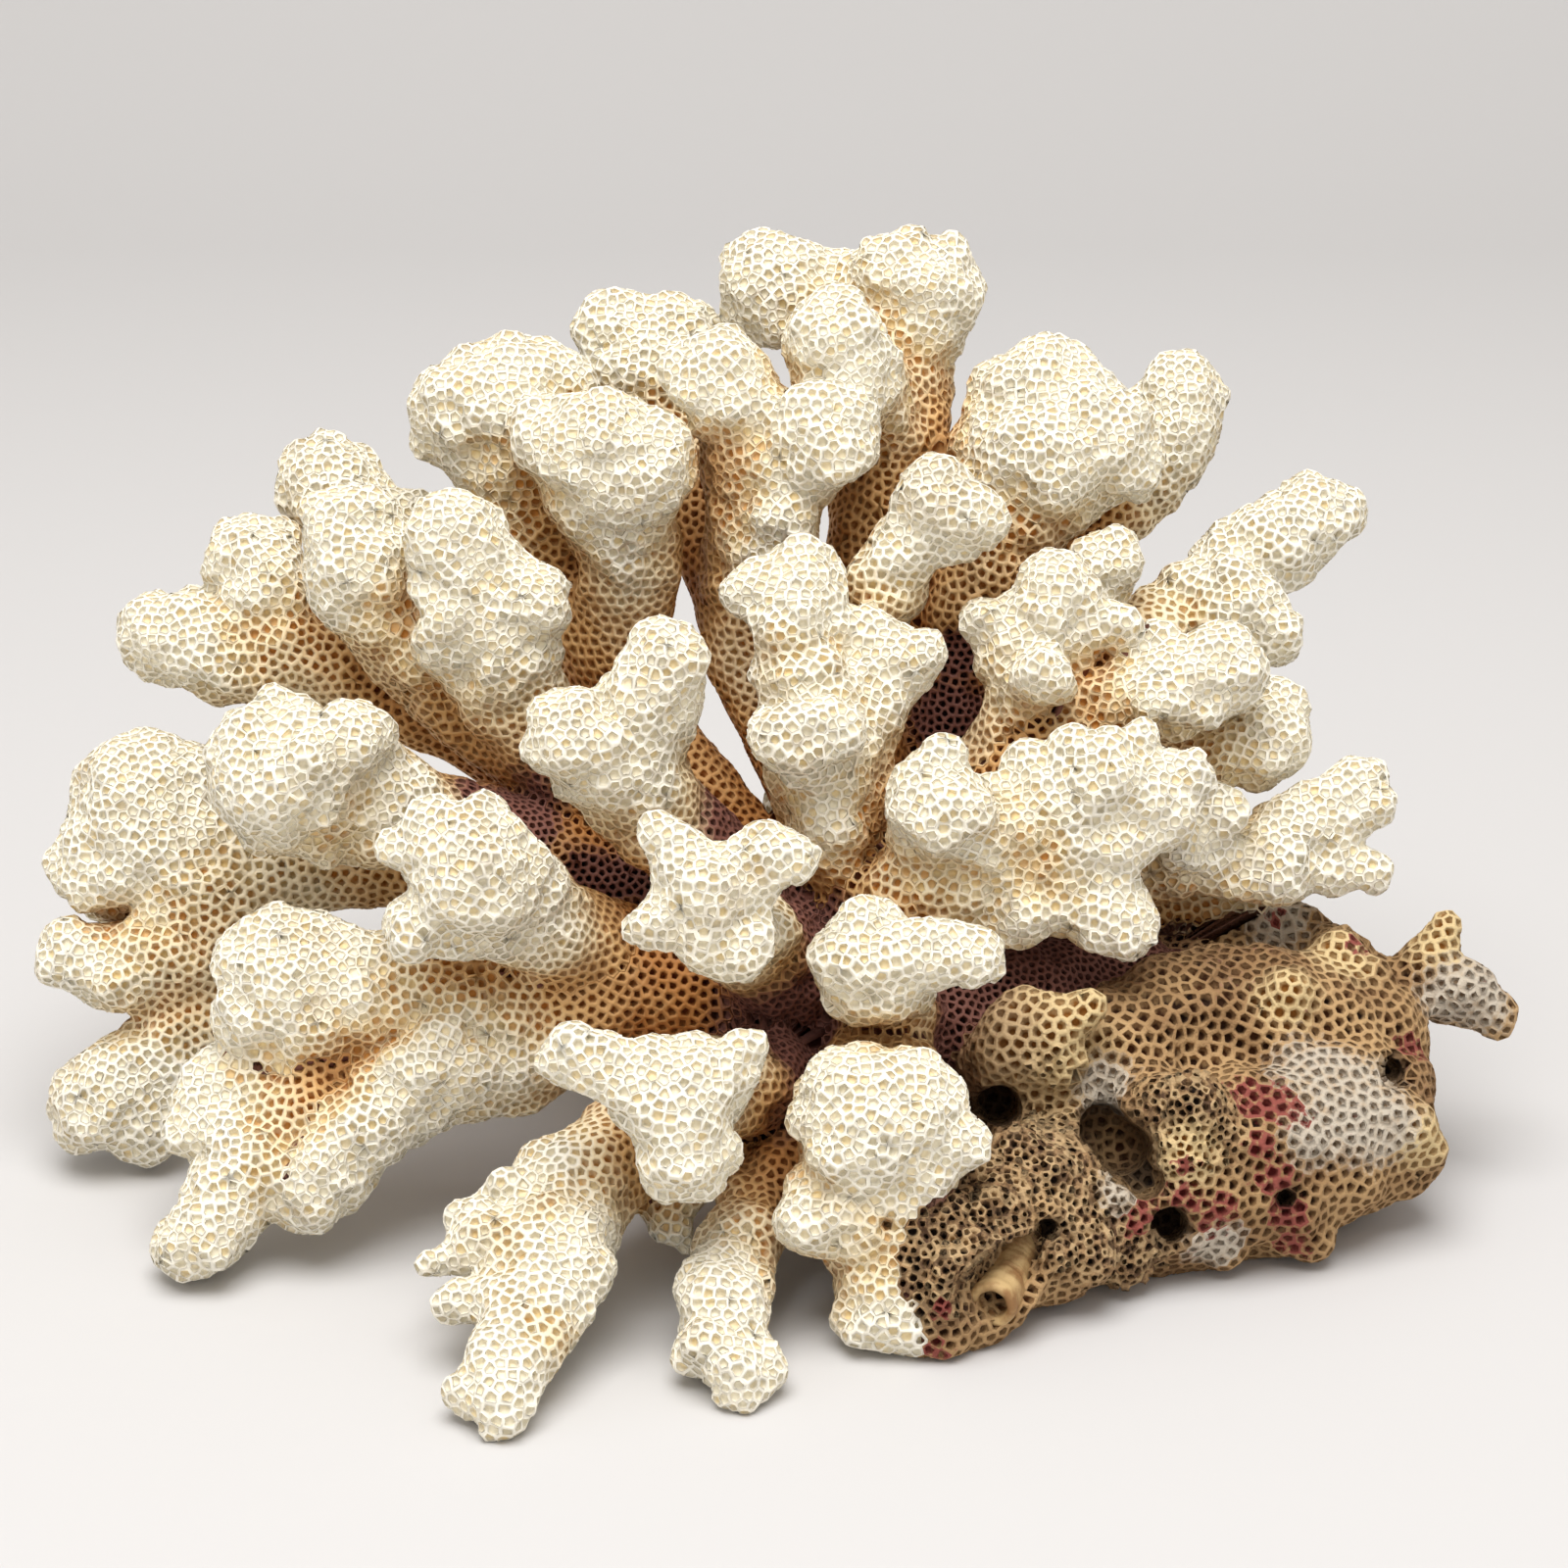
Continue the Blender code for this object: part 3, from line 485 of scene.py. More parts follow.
class Recipe(Tree):
    """A Geometry Nodes tree with named inputs, which makes one mesh from another."""

    SOCKETS = {float: "NodeSocketFloat", int: "NodeSocketInt", bpy.types.Object: "NodeSocketObject"}

    def __init__(self, name, **inputs):
        super().__init__(bpy.data.node_groups.new(name, "GeometryNodeTree"))
        face = self.tree.interface
        face.new_socket("Geometry", in_out="INPUT", socket_type="NodeSocketGeometry")
        for key, value in inputs.items():
            kind = value if isinstance(value, type) else type(value)
            made = face.new_socket(key, in_out="INPUT", socket_type=self.SOCKETS[kind])
            if kind is not value:
                made.default_value = value
        face.new_socket("Geometry", in_out="OUTPUT", socket_type="NodeSocketGeometry")
        start = self.tree.nodes.new("NodeGroupInput")
        self.input = {made.name: Socket(self, made) for made in start.outputs}

    def finish(self, geometry, material=None):
        """Ends the tree: instances are made real, and the material is set."""
        geometry = self.node("GeometryNodeRealizeInstances", None, {"Geometry": geometry})
        geometry = self.node(
            "GeometryNodeSetMaterial", None, {"Geometry": geometry, "Material": material}
        )
        self.node("NodeGroupOutput", None, {0: geometry})
        return self

    def named(self, name, kind="FLOAT"):
        return self.node("GeometryNodeInputNamedAttribute", {"data_type": kind}, {"Name": name})

    def store(self, geometry, name, value, kind="FLOAT", domain="POINT", where=True):
        return self.node(
            "GeometryNodeStoreNamedAttribute",
            {"data_type": kind, "domain": domain},
            {"Geometry": geometry, "Selection": where, "Name": name, "Value": value},
        )

    def make(self, mesh, name, **values):
        """The mesh that the recipe makes from this one."""
        body = bpy.data.objects.new(name, mesh)
        bpy.context.scene.collection.objects.link(body)
        step = body.modifiers.new(name, "NODES")
        step.node_group = self.tree
        for item in self.tree.interface.items_tree:
            if item.in_out == "INPUT" and item.name in values:
                step[item.identifier] = values[item.name]
        graph = bpy.context.evaluated_depsgraph_get()
        made = bpy.data.meshes.new_from_object(body.evaluated_get(graph))
        bpy.data.objects.remove(body)
        return made


GRAIN = 0.50 * MM  # the step of the grid that the limbs melt in
MELT = 0.75 * MM  # how softly limbs run together
KNOB_MELT = 0.32 * MM  # how softly knobs run into the limbs
THINNED = 0.45 * MM  # what the knobs give back
MARGIN = 4.0 * MM
CUP_PITCH = 1.14 * MM  # the least distance from one cup to the next
HEART_PITCH = 0.88 * MM
FOOT_PITCH = 1.34 * MM
ROUGH_PITCH = 0.90 * MM
EVENING_ROUNDS = 3
STREWN = 9.0  # points tried for each square of the least distance
TIP_LENGTH = 13 * MM  # how far back from a tip it is white and knobby
AGE_LENGTH = 30 * MM  # how far back from a tip the cups go on ageing


def place(points):
    """Centres and radii, in metres, of points of the drawing."""
    across, down, forward, radius = np.asarray(points, float).T
    near = 1 - forward * DIVISION / VIEW_DISTANCE
    right = (across - SHEET_MIDDLE) * DIVISION * near
    up = (SHEET_MIDDLE - down) * DIVISION * near
    out = forward * DIVISION
    y = up * math.sin(VIEW_RISE) - out * math.cos(VIEW_RISE)
    z = up * math.cos(VIEW_RISE) + out * math.sin(VIEW_RISE)
    return np.stack([right, y, z], axis=1) + HEART, radius * DIVISION * near


def rod_distance(spots, ends, radii):
    """How far each spot is outside a tapered rod with round ends."""
    run = ends[1] - ends[0]
    along = np.clip((spots - ends[0]) @ run / (run @ run), 0, 1)
    gap = spots - ends[0] - along[..., None] * run
    return np.sqrt((gap * gap).sum(-1)) - (radii[0] + along * (radii[1] - radii[0]))


def rods_of(limb):
    """The rods of a limb: the two ends of each, and their radii."""
    centres, radii = place(limb)
    return [(centres[i : i + 2], radii[i : i + 2]) for i in range(len(limb) - 1)]


class Grid:
    """A block of space round the colony, cut into even steps."""

    def __init__(self, low, high, step):
        self.step = step
        self.low = np.asarray(low)
        self.size = np.ceil((np.asarray(high) - self.low) / step).astype(int) + 1
        self.axes = [self.low[i] + step * np.arange(self.size[i]) for i in range(3)]

    def window(self, low, high):
        first = np.maximum(0, np.floor((low - self.low) / self.step).astype(int))
        last = np.minimum(self.size, np.ceil((high - self.low) / self.step).astype(int) + 1)
        return tuple(slice(a, b) for a, b in zip(first, last))

    def spots(self, window):
        return np.stack(
            np.meshgrid(*(a[w] for a, w in zip(self.axes, window)), indexing="ij"), -1
        )

    def sample(self, values, spots):
        """Values at any spots, evened out between the grid's points."""
        at = (spots - self.low) / self.step
        base = np.clip(np.floor(at).astype(int), 0, self.size - 2)
        part = np.clip(at - base, 0, 1)
        total = np.zeros(len(spots))
        for corner in np.ndindex(2, 2, 2):
            share = np.prod(np.where(corner, part, 1 - part), axis=1)
            total += share * values[tuple((base + corner).T)]
        return total


def spread(values, size, ratio):
    """Values on a coarse block of space, smoothly evened out to a grid this many times finer."""
    for axis in range(3):
        at = np.arange(size[axis]) / ratio
        low = np.minimum(np.floor(at).astype(int), values.shape[axis] - 2)
        part = np.clip(at - low, 0, 1)
        part = (part * part * (3 - 2 * part)).astype(np.float32)
        part = part.reshape([-1 if a == axis else 1 for a in range(3)])
        values = values.take(low, axis) * (1 - part) + values.take(low + 1, axis) * part
    return values


def lumps(rng, grid, size):
    """Smooth noise from -1 to 1 at each point of a grid, with lumps of this size."""
    ratio = size / grid.step
    count = (grid.size / ratio).astype(int) + 2
    return spread(rng.uniform(-1, 1, count).astype(np.float32), grid.size, ratio)


def melt_limbs(grid, limbs):
    """How much limb there is at each grid point: exp(-distance / MELT), summed over limbs."""
    total = np.zeros(grid.size, np.float32)
    for limb in limbs:
        centres, radii = place(limb)
        reach = radii.max() + MARGIN
        whole = grid.window(centres.min(0) - reach, centres.max(0) + reach)
        nearest = np.full([w.stop - w.start for w in whole], 1.0, np.float32)
        for ends, sizes in rods_of(limb):
            reach = sizes.max() + MARGIN
            near = grid.window(ends.min(0) - reach, ends.max(0) + reach)
            gap = rod_distance(grid.spots(near), ends, sizes).astype(np.float32)
            inner = tuple(slice(n.start - w.start, n.stop - w.start) for n, w in zip(near, whole))
            nearest[inner] = np.minimum(nearest[inner], gap)
        total[whole] += np.exp(np.clip(-nearest / MELT, -30, 30))
    return total


def add_balls(grid, total, centres, radii, reach):
    """Adds balls to a field of exp(-distance / KNOB_MELT), each felt within its reach."""
    side = np.arange(-math.ceil(reach / grid.step), math.ceil(reach / grid.step) + 1)
    block = np.stack(np.meshgrid(side, side, side, indexing="ij"), -1).reshape(-1, 3)
    block = block[(block**2).sum(1) * grid.step**2 < reach**2]
    home = np.rint((centres - grid.low) / grid.step).astype(int)
    flat = total.reshape(-1)
    for some in np.array_split(np.arange(len(centres)), max(1, len(centres) // 2000)):
        spots = home[some][:, None, :] + block[None]
        inside = ((spots >= 0) & (spots < grid.size)).all(-1)
        gap = np.linalg.norm(spots * grid.step + grid.low - centres[some][:, None, :], axis=-1)
        amount = np.exp(-(gap - radii[some][:, None]) / KNOB_MELT) * inside
        spots = np.clip(spots, 0, grid.size - 1).reshape(-1, 3)
        index = np.ravel_multi_index(spots.T, grid.size)
        low, high = index.min(), index.max() + 1
        flat[low:high] += np.bincount(index - low, amount.ravel(), high - low).astype(np.float32)


def flat_mesh(name, spots, corners, counts):
    """A mesh from its points, its faces' corners in a row, and how many each face has."""
    mesh = bpy.data.meshes.new(name)
    mesh.vertices.add(len(spots))
    mesh.vertices.foreach_set("co", np.ascontiguousarray(spots, np.float32).ravel())
    if len(counts):
        mesh.loops.add(len(corners))
        mesh.loops.foreach_set("vertex_index", np.ascontiguousarray(corners, np.int32))
        mesh.polygons.add(len(counts))
        starts = np.concatenate([[0], np.cumsum(counts)[:-1]])
        mesh.polygons.foreach_set("loop_start", starts.astype(np.int32))
    mesh.update(calc_edges=True)
    return mesh


def skin_of(grid, field, name):
    """The closed surface where a field of distances is zero, as a mesh of squares."""
    volume = openvdb.FloatGrid(float(MARGIN))
    volume.copyFromArray(np.clip(field, -MARGIN, MARGIN).astype(np.float32))
    spots, squares = volume.convertToQuads(isovalue=0.0)
    spots = spots * grid.step + grid.low
    return flat_mesh(name, spots, squares.reshape(-1), np.full(len(squares), 4))


def read(items, name, width=3, kind=np.float32):
    values = np.empty(len(items) * width, kind)
    items.foreach_get(name, values)
    return values.reshape(-1, width) if width > 1 else values


def scatter_recipe():
    """Points strewn evenly over a skin, each with the way that the skin faces there."""
    t = Recipe("scatter", Distance=0.003, Density=1e6, Seed=1)
    dots = t.node(
        "GeometryNodeDistributePointsOnFaces",
        {"distribute_method": "POISSON"},
        {
            "Mesh": t.input["Geometry"],
            "Distance Min": t.input["Distance"],
            "Density Max": t.input["Density"],
            "Seed": t.input["Seed"],
        },
    )
    facing = Socket(t, t.last.outputs["Normal"])
    dots = t.store(dots, "facing", facing, "FLOAT_VECTOR")
    return t.finish(t.node("GeometryNodePointsToVertices", None, {"Points": dots}))


def finer_recipe():
    """Divides each square into four."""
    t = Recipe("finer")
    return t.finish(t.node("GeometryNodeSubdivideMesh", None, {"Mesh": t.input["Geometry"]}))


def nearest_recipe():
    """Marks each point of a mesh with the number of the seed nearest to it."""
    t = Recipe("nearest", Seeds=bpy.types.Object)
    seeds = t.node("GeometryNodeObjectInfo", None, {"Object": t.input["Seeds"]}, "Geometry")
    number = t.node("GeometryNodeSampleNearest", {"domain": "POINT"}, {"Geometry": seeds})
    return t.finish(t.store(t.input["Geometry"], "cup", number, "INT"))


def strew(recipe, skin, distance, seed):
    """Spots and facings of points strewn over a skin, at least this far apart."""
    density = STREWN / distance**2
    dots = recipe.make(skin, "dots", Distance=distance, Density=density, Seed=seed)
    spots = read(dots.vertices, "co").astype(float)
    facing = read(dots.attributes["facing"].data, "vector").astype(float)
    bpy.data.meshes.remove(dots)
    return spots, facing


def nearness(spots, limbs, width):
    """1 on the end of a limb, down to 0 this far from it."""
    near = np.zeros(len(spots))
    for limb in limbs:
        centres, radii = place(limb)
        gap = np.linalg.norm(spots - centres[-1], axis=1) - radii[-1]
        near = np.maximum(near, np.clip(1 - gap / width, 0, 1))
    return near


def seen_at(grid, field, across, down):
    """Where the line of sight through a point of the sheet meets the skin."""
    forward = np.arange(650.0, -650.0, -3.0)
    same = np.ones_like(forward)
    line = place(np.stack([across * same, down * same, forward, 0 * same], 1))[0]
    return line[(grid.sample(field, line) < 0).argmax()]


def fade_in_balls(spots, balls):
    """1 inside the balls, fading to 0 outside them."""
    amount = np.zeros(len(spots))
    for centre, radius in balls:
        gap = np.linalg.norm(spots - centre, axis=1) / radius
        amount = np.maximum(amount, np.clip(1.8 - 1.1 * gap, 0, 1))
    return amount


def depths_in(spots, groups):
    """How far each spot is outside each group of limbs, one column a group."""
    columns = []
    for limbs in groups:
        gaps = [rod_distance(spots, *rod) for limb in limbs for rod in rods_of(limb)]
        columns.append(np.min(gaps, axis=0))
    return np.stack(columns, axis=1)


def owners_of(recipe, fine, seeds):
    """The number of the seed nearest to each point of a skin."""
    cloud = bpy.data.objects.new("seeds", flat_mesh("seeds", seeds, [], []))
    bpy.context.scene.collection.objects.link(cloud)
    marked = recipe.make(fine, "marked", Seeds=cloud)
    owner = read(marked.attributes["cup"].data, "value", 1, np.int32).astype(np.int64)
    bpy.data.meshes.remove(marked)
    bpy.data.meshes.remove(cloud.data)
    return owner


def divide(fine, seeds):
    """Shares a skin's points out to the seeds, and evens the seeds out."""
    recipe = nearest_recipe()
    spots = read(fine.vertices, "co").astype(float)
    quads = read(fine.loops, "vertex_index", 1, np.int32).reshape(-1, 4)
    sides = np.concatenate([quads[:, [0, 1, 2]], quads[:, [0, 2, 3]]])
    for _ in range(EVENING_ROUNDS):
        owner = owners_of(recipe, fine, seeds)
        count = np.bincount(owner, minlength=len(seeds))
        sums = [np.bincount(owner, spots[:, i], len(seeds)) for i in range(3)]
        seeds = (np.stack(sums, 1) / np.maximum(count, 1)[:, None])[count > 0]
    rings = None
    while rings is None:
        owner = owners_of(recipe, fine, seeds)
        owners = owner[sides]
        meet = (owners != np.roll(owners, 1, axis=1)).all(1)
        rings, bad = trace(owners[meet], len(seeds))
        seeds = np.delete(seeds, bad, axis=0) if rings is None else seeds
    return seeds, sides[meet], owners[meet], rings


def trace(owners, count):
    """Joins the spots where three cells meet into a ring round each cell.

    Gives the rings as rows of (cell, neighbour, spot), and the seeds that spoil a ring.
    """
    cell = owners.reshape(-1)
    before = owners[:, [1, 2, 0]].reshape(-1)
    after = owners[:, [2, 0, 1]].reshape(-1)
    spot = np.repeat(np.arange(len(owners)), 3)
    arrives = cell * count + before
    leaves = cell * count + after
    order = np.argsort(arrives, kind="stable")
    slot = np.minimum(np.searchsorted(arrives[order], leaves), len(order) - 1)
    following = order[slot]
    twice = arrives[order][1:] == arrives[order][:-1]
    broken = arrives[following] != leaves
    few = np.bincount(cell, minlength=count) < 3
    few &= np.bincount(cell, minlength=count) > 0
    bad = np.concatenate([np.minimum(cell, before)[order[1:][twice]], cell[broken]])
    bad = np.unique(np.concatenate([bad, np.flatnonzero(few)]))
    if len(bad):
        return None, bad
    first = np.arange(len(cell))
    jump = following
    for _ in range(5):
        first = np.minimum(first, first[jump])
        jump = jump[jump]
    heads = np.flatnonzero(first == np.arange(len(cell)))
    rows, here, open_ = [heads], following[heads], np.ones(len(heads), bool)
    while True:
        open_ = open_ & (here != heads)
        if not open_.any():
            break
        rows.append(np.where(open_, here, -1))
        here = following[here]
    rows = np.stack(rows, axis=1)
    pad = rows < 0
    neighbour = np.where(pad, -1, before[rows])
    return (cell[heads], neighbour, np.where(pad, -1, spot[rows])), bad


def meeting_spots(fine, sides, owners, seeds):
    """Where three cells meet: even distances from their seeds, kept on the skin."""
    spots = read(fine.vertices, "co").astype(float)
    facings = read(fine.vertex_normals, "vector").astype(float)
    ground = spots[sides].mean(1)
    facing = facings[sides].mean(1)
    facing /= np.linalg.norm(facing, axis=1)[:, None]
    a, b, c = np.moveaxis(seeds[owners], 1, 0)
    ab, ac = b - a, c - a
    up = np.cross(ab, ac)
    size = 2 * (up * up).sum(1)[:, None]
    even = a + (
        np.cross(up, ab) * (ac * ac).sum(1)[:, None] + np.cross(ac, up) * (ab * ab).sum(1)[:, None]
    ) / np.maximum(size, 1e-24)
    shift = even - ground
    shift -= facing * (shift * facing).sum(1)[:, None]
    length = np.linalg.norm(shift, axis=1)[:, None]
    shift *= np.minimum(1, 0.3 * MM / np.maximum(length, 1e-9))
    return ground + 0.85 * shift, facing


def srgb(red, green, blue):
    """A colour as it is seen, from 0 to 255, as the shader's numbers."""
    seen = [value / 255 for value in (red, green, blue)]
    return tuple(v / 12.92 if v <= 0.04045 else ((v + 0.055) / 1.055) ** 2.4 for v in seen)


class Finish(Tree):
    """A material that is written as expressions."""

    def __init__(self, name, **shader):
        self.material = bpy.data.materials.new(name)
        self.material.use_nodes = True
        super().__init__(self.material.node_tree)
        self.tree.nodes.clear()
        self.spot = self.node("ShaderNodeTexCoord", out="Object")
        self.shader = shader

    def felt(self, name, out="Fac"):
        return self.node("ShaderNodeAttribute", {"attribute_name": name}, out=out)

    def noise(self, size, detail=3.0):
        inputs = {"Vector": self.spot, "Scale": 1 / size, "Detail": detail, "Roughness": 0.55}
        return self.node("ShaderNodeTexNoise", None, inputs)

    def ramp(self, value, low, high, start=0.0, end=1.0):
        """Takes a value from start to end as it goes from low to high."""
        return self.node(
            "ShaderNodeMapRange",
            {"interpolation_type": "SMOOTHSTEP"},
            {"Value": value, "From Min": low, "From Max": high, "To Min": start, "To Max": end},
        )

    def mix(self, share, first, second):
        first, second = ((*c, 1.0) if isinstance(c, tuple) else c for c in (first, second))
        return self.node(
            "ShaderNodeMix",
            {"data_type": "RGBA"},
            {"Factor": share, 6: first, 7: second},
            out=2,
        )

    def finish(self, colour, roughness, height, bump):
        bumps = self.node(
            "ShaderNodeBump", None, {"Strength": 1.0, "Distance": bump, "Height": height}
        )
        inputs = {"Base Color": colour, "Roughness": roughness, "Normal": bumps, **self.shader}
        shader = self.node("ShaderNodeBsdfPrincipled", None, inputs)
        self.node("ShaderNodeOutputMaterial", None, {"Surface": shader})
        return self.material


    def in_cup(self):
        """1 in the round middle of a cup, 0 on the walls between cups."""
        arm = self.vector("SUBTRACT", self.spot, self.felt("centre", "Vector"))
        facing = self.felt("facing", "Vector")
        height = self.vector("DOT_PRODUCT", arm, facing, out="Value")
        flat = self.vector("SUBTRACT", arm, self.vector("SCALE", facing, scale=height))
        away = self.vector("LENGTH", flat, out="Value") / self.felt("reach")
        return ((self.felt("mouth") * 1.12 - away) * 6.0).clamped()


def coral_finish():
    """Dried coral: white at the tips, honey down the stems, maroon at the heart, with painted warm
    shade in the cups and in the recesses between branches.
    """
    f = Finish("dried_coral", **{"Specular IOR Level": 0.25})
    age, pit, luck, tip = f.felt("age"), f.felt("pit"), f.felt("luck"), f.felt("tip")
    crowd, heart = f.felt("crowd"), f.felt("heart")
    wash = f.ramp(f.noise(12 * MM), 0.3, 0.7)
    # Painted shade: the tone rises with age and the coral's own wash, and also where much coral
    # crowds round a cup, as warm shade in the recesses between branches.
    tone_and_shade = (age * 0.6 + crowd * 0.7 + (wash - 0.5) * 0.26 - tip * 0.12 + 0.02).clamped()
    crest = f.node(
        "ShaderNodeValToRGB",
        {
            "stops": [
                (0.0, srgb(252, 246, 230)), (0.25, srgb(247, 229, 192)),
                (0.58, srgb(226, 184, 126)),
                (1.0, srgb(196, 136, 76)),
            ]
        },
        {"Fac": tone_and_shade},
    )
    # Painted shade and painted warm glow: the cups are darker and more orange than the crests, more
    # so as the tone and shade rise.
    cup = f.node(
        "ShaderNodeValToRGB",
        {
            "stops": [
                (0.0, srgb(252, 243, 218)), (0.16, srgb(247, 224, 170)), (0.42, srgb(210, 146, 70)),
                (1.0, srgb(124, 64, 26)),
            ]
        },
        {"Fac": (tone_and_shade + (luck - 0.5) * 0.25).clamped()},
    )
    red = (heart * 1.6 - 0.12 + (wash - 0.5) * 0.4).clamped()
    crest = f.mix(red, crest, srgb(138, 92, 80))
    # Maroon on the heart's crests; its cups are painted near black, as shade.
    cup = f.mix((red * 1.3).clamped(), cup, srgb(52, 22, 20))
    # Painted shade: from the crest colour to the cup colour towards the middle of each cup and down
    # its pit.
    colour = f.mix((f.in_cup() * 0.8 + pit * 0.35).clamped(), crest, cup)
    dust = f.ramp(f.noise(2.2 * MM, 4.0), 0.35, 0.65, 0.94, 1.0)
    colour = f.vector("SCALE", colour, scale=dust)
    grain = f.noise(0.35 * MM, 2.0)
    return f.finish(colour, 0.62, grain, 0.00006)


def foot_finish():
    """The dead foot: ochre honeycomb, rough brown parts, chalk and a pink crust, with painted shade
    in its cups and holes.
    """
    f = Finish("dead_foot", **{"Specular IOR Level": 0.25})
    pit, luck = f.felt("pit"), f.felt("luck")
    wash, fleck = f.noise(9 * MM, 4.0), f.noise(0.9 * MM, 3.0)
    crest = f.mix(f.ramp(wash, 0.35, 0.65), srgb(194, 158, 112), srgb(152, 116, 78))
    # Painted shade: the foot's cup colours, here and below, are darker than its crest colours.
    cup = f.mix(luck, srgb(96, 58, 30), srgb(48, 30, 20))
    rough = (f.felt("rough") + (wash - 0.5) * 1.2).clamped()
    brown = f.mix(f.ramp(fleck, 0.4, 0.62), srgb(84, 60, 42), srgb(166, 132, 94))
    brown = f.mix(f.ramp(luck, 0.2, 0.9), brown, srgb(196, 166, 124))
    crest, cup = f.mix(rough, crest, brown), f.mix(rough, cup, srgb(42, 30, 24))
    sandy = f.felt("sandy")
    crest, cup = f.mix(sandy, crest, srgb(224, 198, 148)), f.mix(sandy, cup, srgb(170, 118, 56))
    chalk = f.ramp(f.felt("chalk") + (fleck - 0.5) * 1.3 + (wash - 0.5), 0.2, 1.1)
    crest, cup = f.mix(chalk, crest, srgb(202, 190, 172)), f.mix(chalk, cup, srgb(130, 108, 84))
    crust = f.ramp(f.felt("crust") + (fleck - 0.5) * 2.6 + (wash - 0.5), 0.4, 0.95)
    crest, cup = f.mix(crust, crest, srgb(150, 80, 70)), f.mix(crust, cup, srgb(116, 42, 40))
    heart = (f.felt("heart") * 1.6).clamped()
    crest, cup = f.mix(heart, crest, srgb(150, 106, 88)), f.mix(heart, cup, srgb(58, 28, 24))
    # Painted shade: darker towards the middle of each cup and down its pit.
    colour = f.mix((f.in_cup() * 0.85 + pit * 0.25).clamped(), crest, cup)
    # Painted shade: near black inside the holes.
    colour = f.mix(f.felt("hole") * 0.85, colour, srgb(40, 30, 25))
    grain = f.noise(0.3 * MM, 4.0)
    return f.finish(colour, 0.8, grain, 0.00022)


def tube_finish():
    """The tube's lime: sandy outside with brown rings, and painted shade darkening it down the
    bore.
    """
    f = Finish("worm_tube", **{"Specular IOR Level": 0.3})
    wash = f.noise(2.5 * MM, 4.0)
    shell = f.mix(f.ramp(wash, 0.35, 0.68), srgb(206, 174, 122), srgb(152, 112, 70))
    # Painted shade: darker the deeper down the bore.
    colour = f.mix(f.felt("pit"), shell, srgb(118, 74, 36))
    return f.finish(colour, 0.6, f.noise(0.3 * MM, 3.0), 0.0001)


def plain_finish(name, seen, roughness):
    """One colour, and nothing else."""
    f = Finish(name)
    inputs = {"Base Color": (*srgb(*seen), 1.0), "Roughness": roughness}
    shader = f.node("ShaderNodeBsdfPrincipled", None, inputs)
    f.node("ShaderNodeOutputMaterial", None, {"Surface": shader})
    return f.material


def finishes():
    """The finish of each piece that has one of its own, and the others'."""
    return {"coral": coral_finish(), "base_rock": foot_finish(), "worm_tube": tube_finish()}


# Marks on the front of the colony: (across, down, radius) in divisions of the sheet.
MARKS = {
    "heart": [
        (850, 915, 95), (905, 1000, 115), (810, 1060, 70), (760, 1110, 55), (745, 1160, 36),
        (960, 1060, 80),
        (1040, 985, 70), (1110, 975, 60), (1180, 965, 40), (528, 832, 40), (480, 805, 24),
        (745, 835, 44),
        (700, 900, 34), (970, 735, 36), (980, 665, 22), (600, 905, 36), (655, 890, 30),
        (605, 1050, 22),
        (760, 985, 40), (800, 1262, 30), (1010, 1060, 50), (850, 840, 50), (900, 870, 60),
    ],
    "sandy": [
        (1065, 1055, 62), (1110, 1035, 40), (1030, 1085, 34), (1315, 1013, 28), (1368, 975, 30),
        (1472, 950, 34), (1215, 1178, 26), (1460, 1165, 28),
    ],
    "chalk": [
        (1385, 1120, 56), (1345, 1095, 44), (1410, 1150, 38), (1500, 1025, 46), (1300, 935, 36),
        (1240, 1270, 26), (1140, 1215, 20), (1130, 1110, 30), (1340, 1150, 30), (1215, 925, 24),
    ],
    "crust": [
        (1272, 1122, 20), (1300, 1125, 20), (1322, 1132, 14), (1285, 1170, 14), (1300, 1205, 16),
        (1316, 1240, 17), (1318, 1272, 15), (1170, 1238, 13), (1208, 1222, 15), (1245, 1232, 15),
        (1438, 1070, 15), (955, 1380, 10), (1383, 962, 10), (1210, 1190, 10), (962, 1336, 10),
        (1160, 1250, 11), (1232, 1248, 12), (1306, 1296, 11), (1300, 938, 9),
    ],
    "rough": [
        (985, 1230, 62), (940, 1290, 50), (1030, 1190, 48), (1060, 1150, 34), (1095, 1190, 40),
        (1210, 1125, 46), (1235, 1150, 36), (1195, 1170, 34), (1110, 1260, 44), (1160, 1290, 34),
        (1010, 1280, 44), (1070, 1090, 20), (1420, 1095, 20),
    ],
}
# Knobs on the heads: distance apart, radii and rises from least to most, and a seed.
HEAD_KNOBS = [
    (4.4 * MM, 1.7 * MM, 2.9 * MM, 0.3 * MM, 1.6 * MM, 1),
    (2.1 * MM, 0.85 * MM, 1.4 * MM, 0.4 * MM, 1.35 * MM, 5),
    (1.25 * MM, 0.5 * MM, 0.8 * MM, 0.2 * MM, 0.75 * MM, 4),
]
# Knobs on the foot, with how far each one rises as well.
KNOBS = [
    (1215, 1130, 34, 16), (1245, 1155, 26, 12), (1185, 1125, 26, 12), (1212, 1180, 24, 14),
    (1072, 1200, 26, 14), (1040, 1180, 28, 10), (990, 1200, 34, 10), (1110, 1285, 30, 14),
    (1150, 1290, 24, 10), (1440, 1150, 30, 14), (1460, 1172, 20, 12), (1315, 1012, 24, 16),
    (1368, 975, 26, 14), (1300, 945, 30, 8), (1380, 1200, 34, 8), (940, 1260, 34, 10),
    (960, 1330, 30, 8), (1400, 1000, 26, 8), (1340, 1265, 26, 8), (1250, 1275, 24, 6),
]
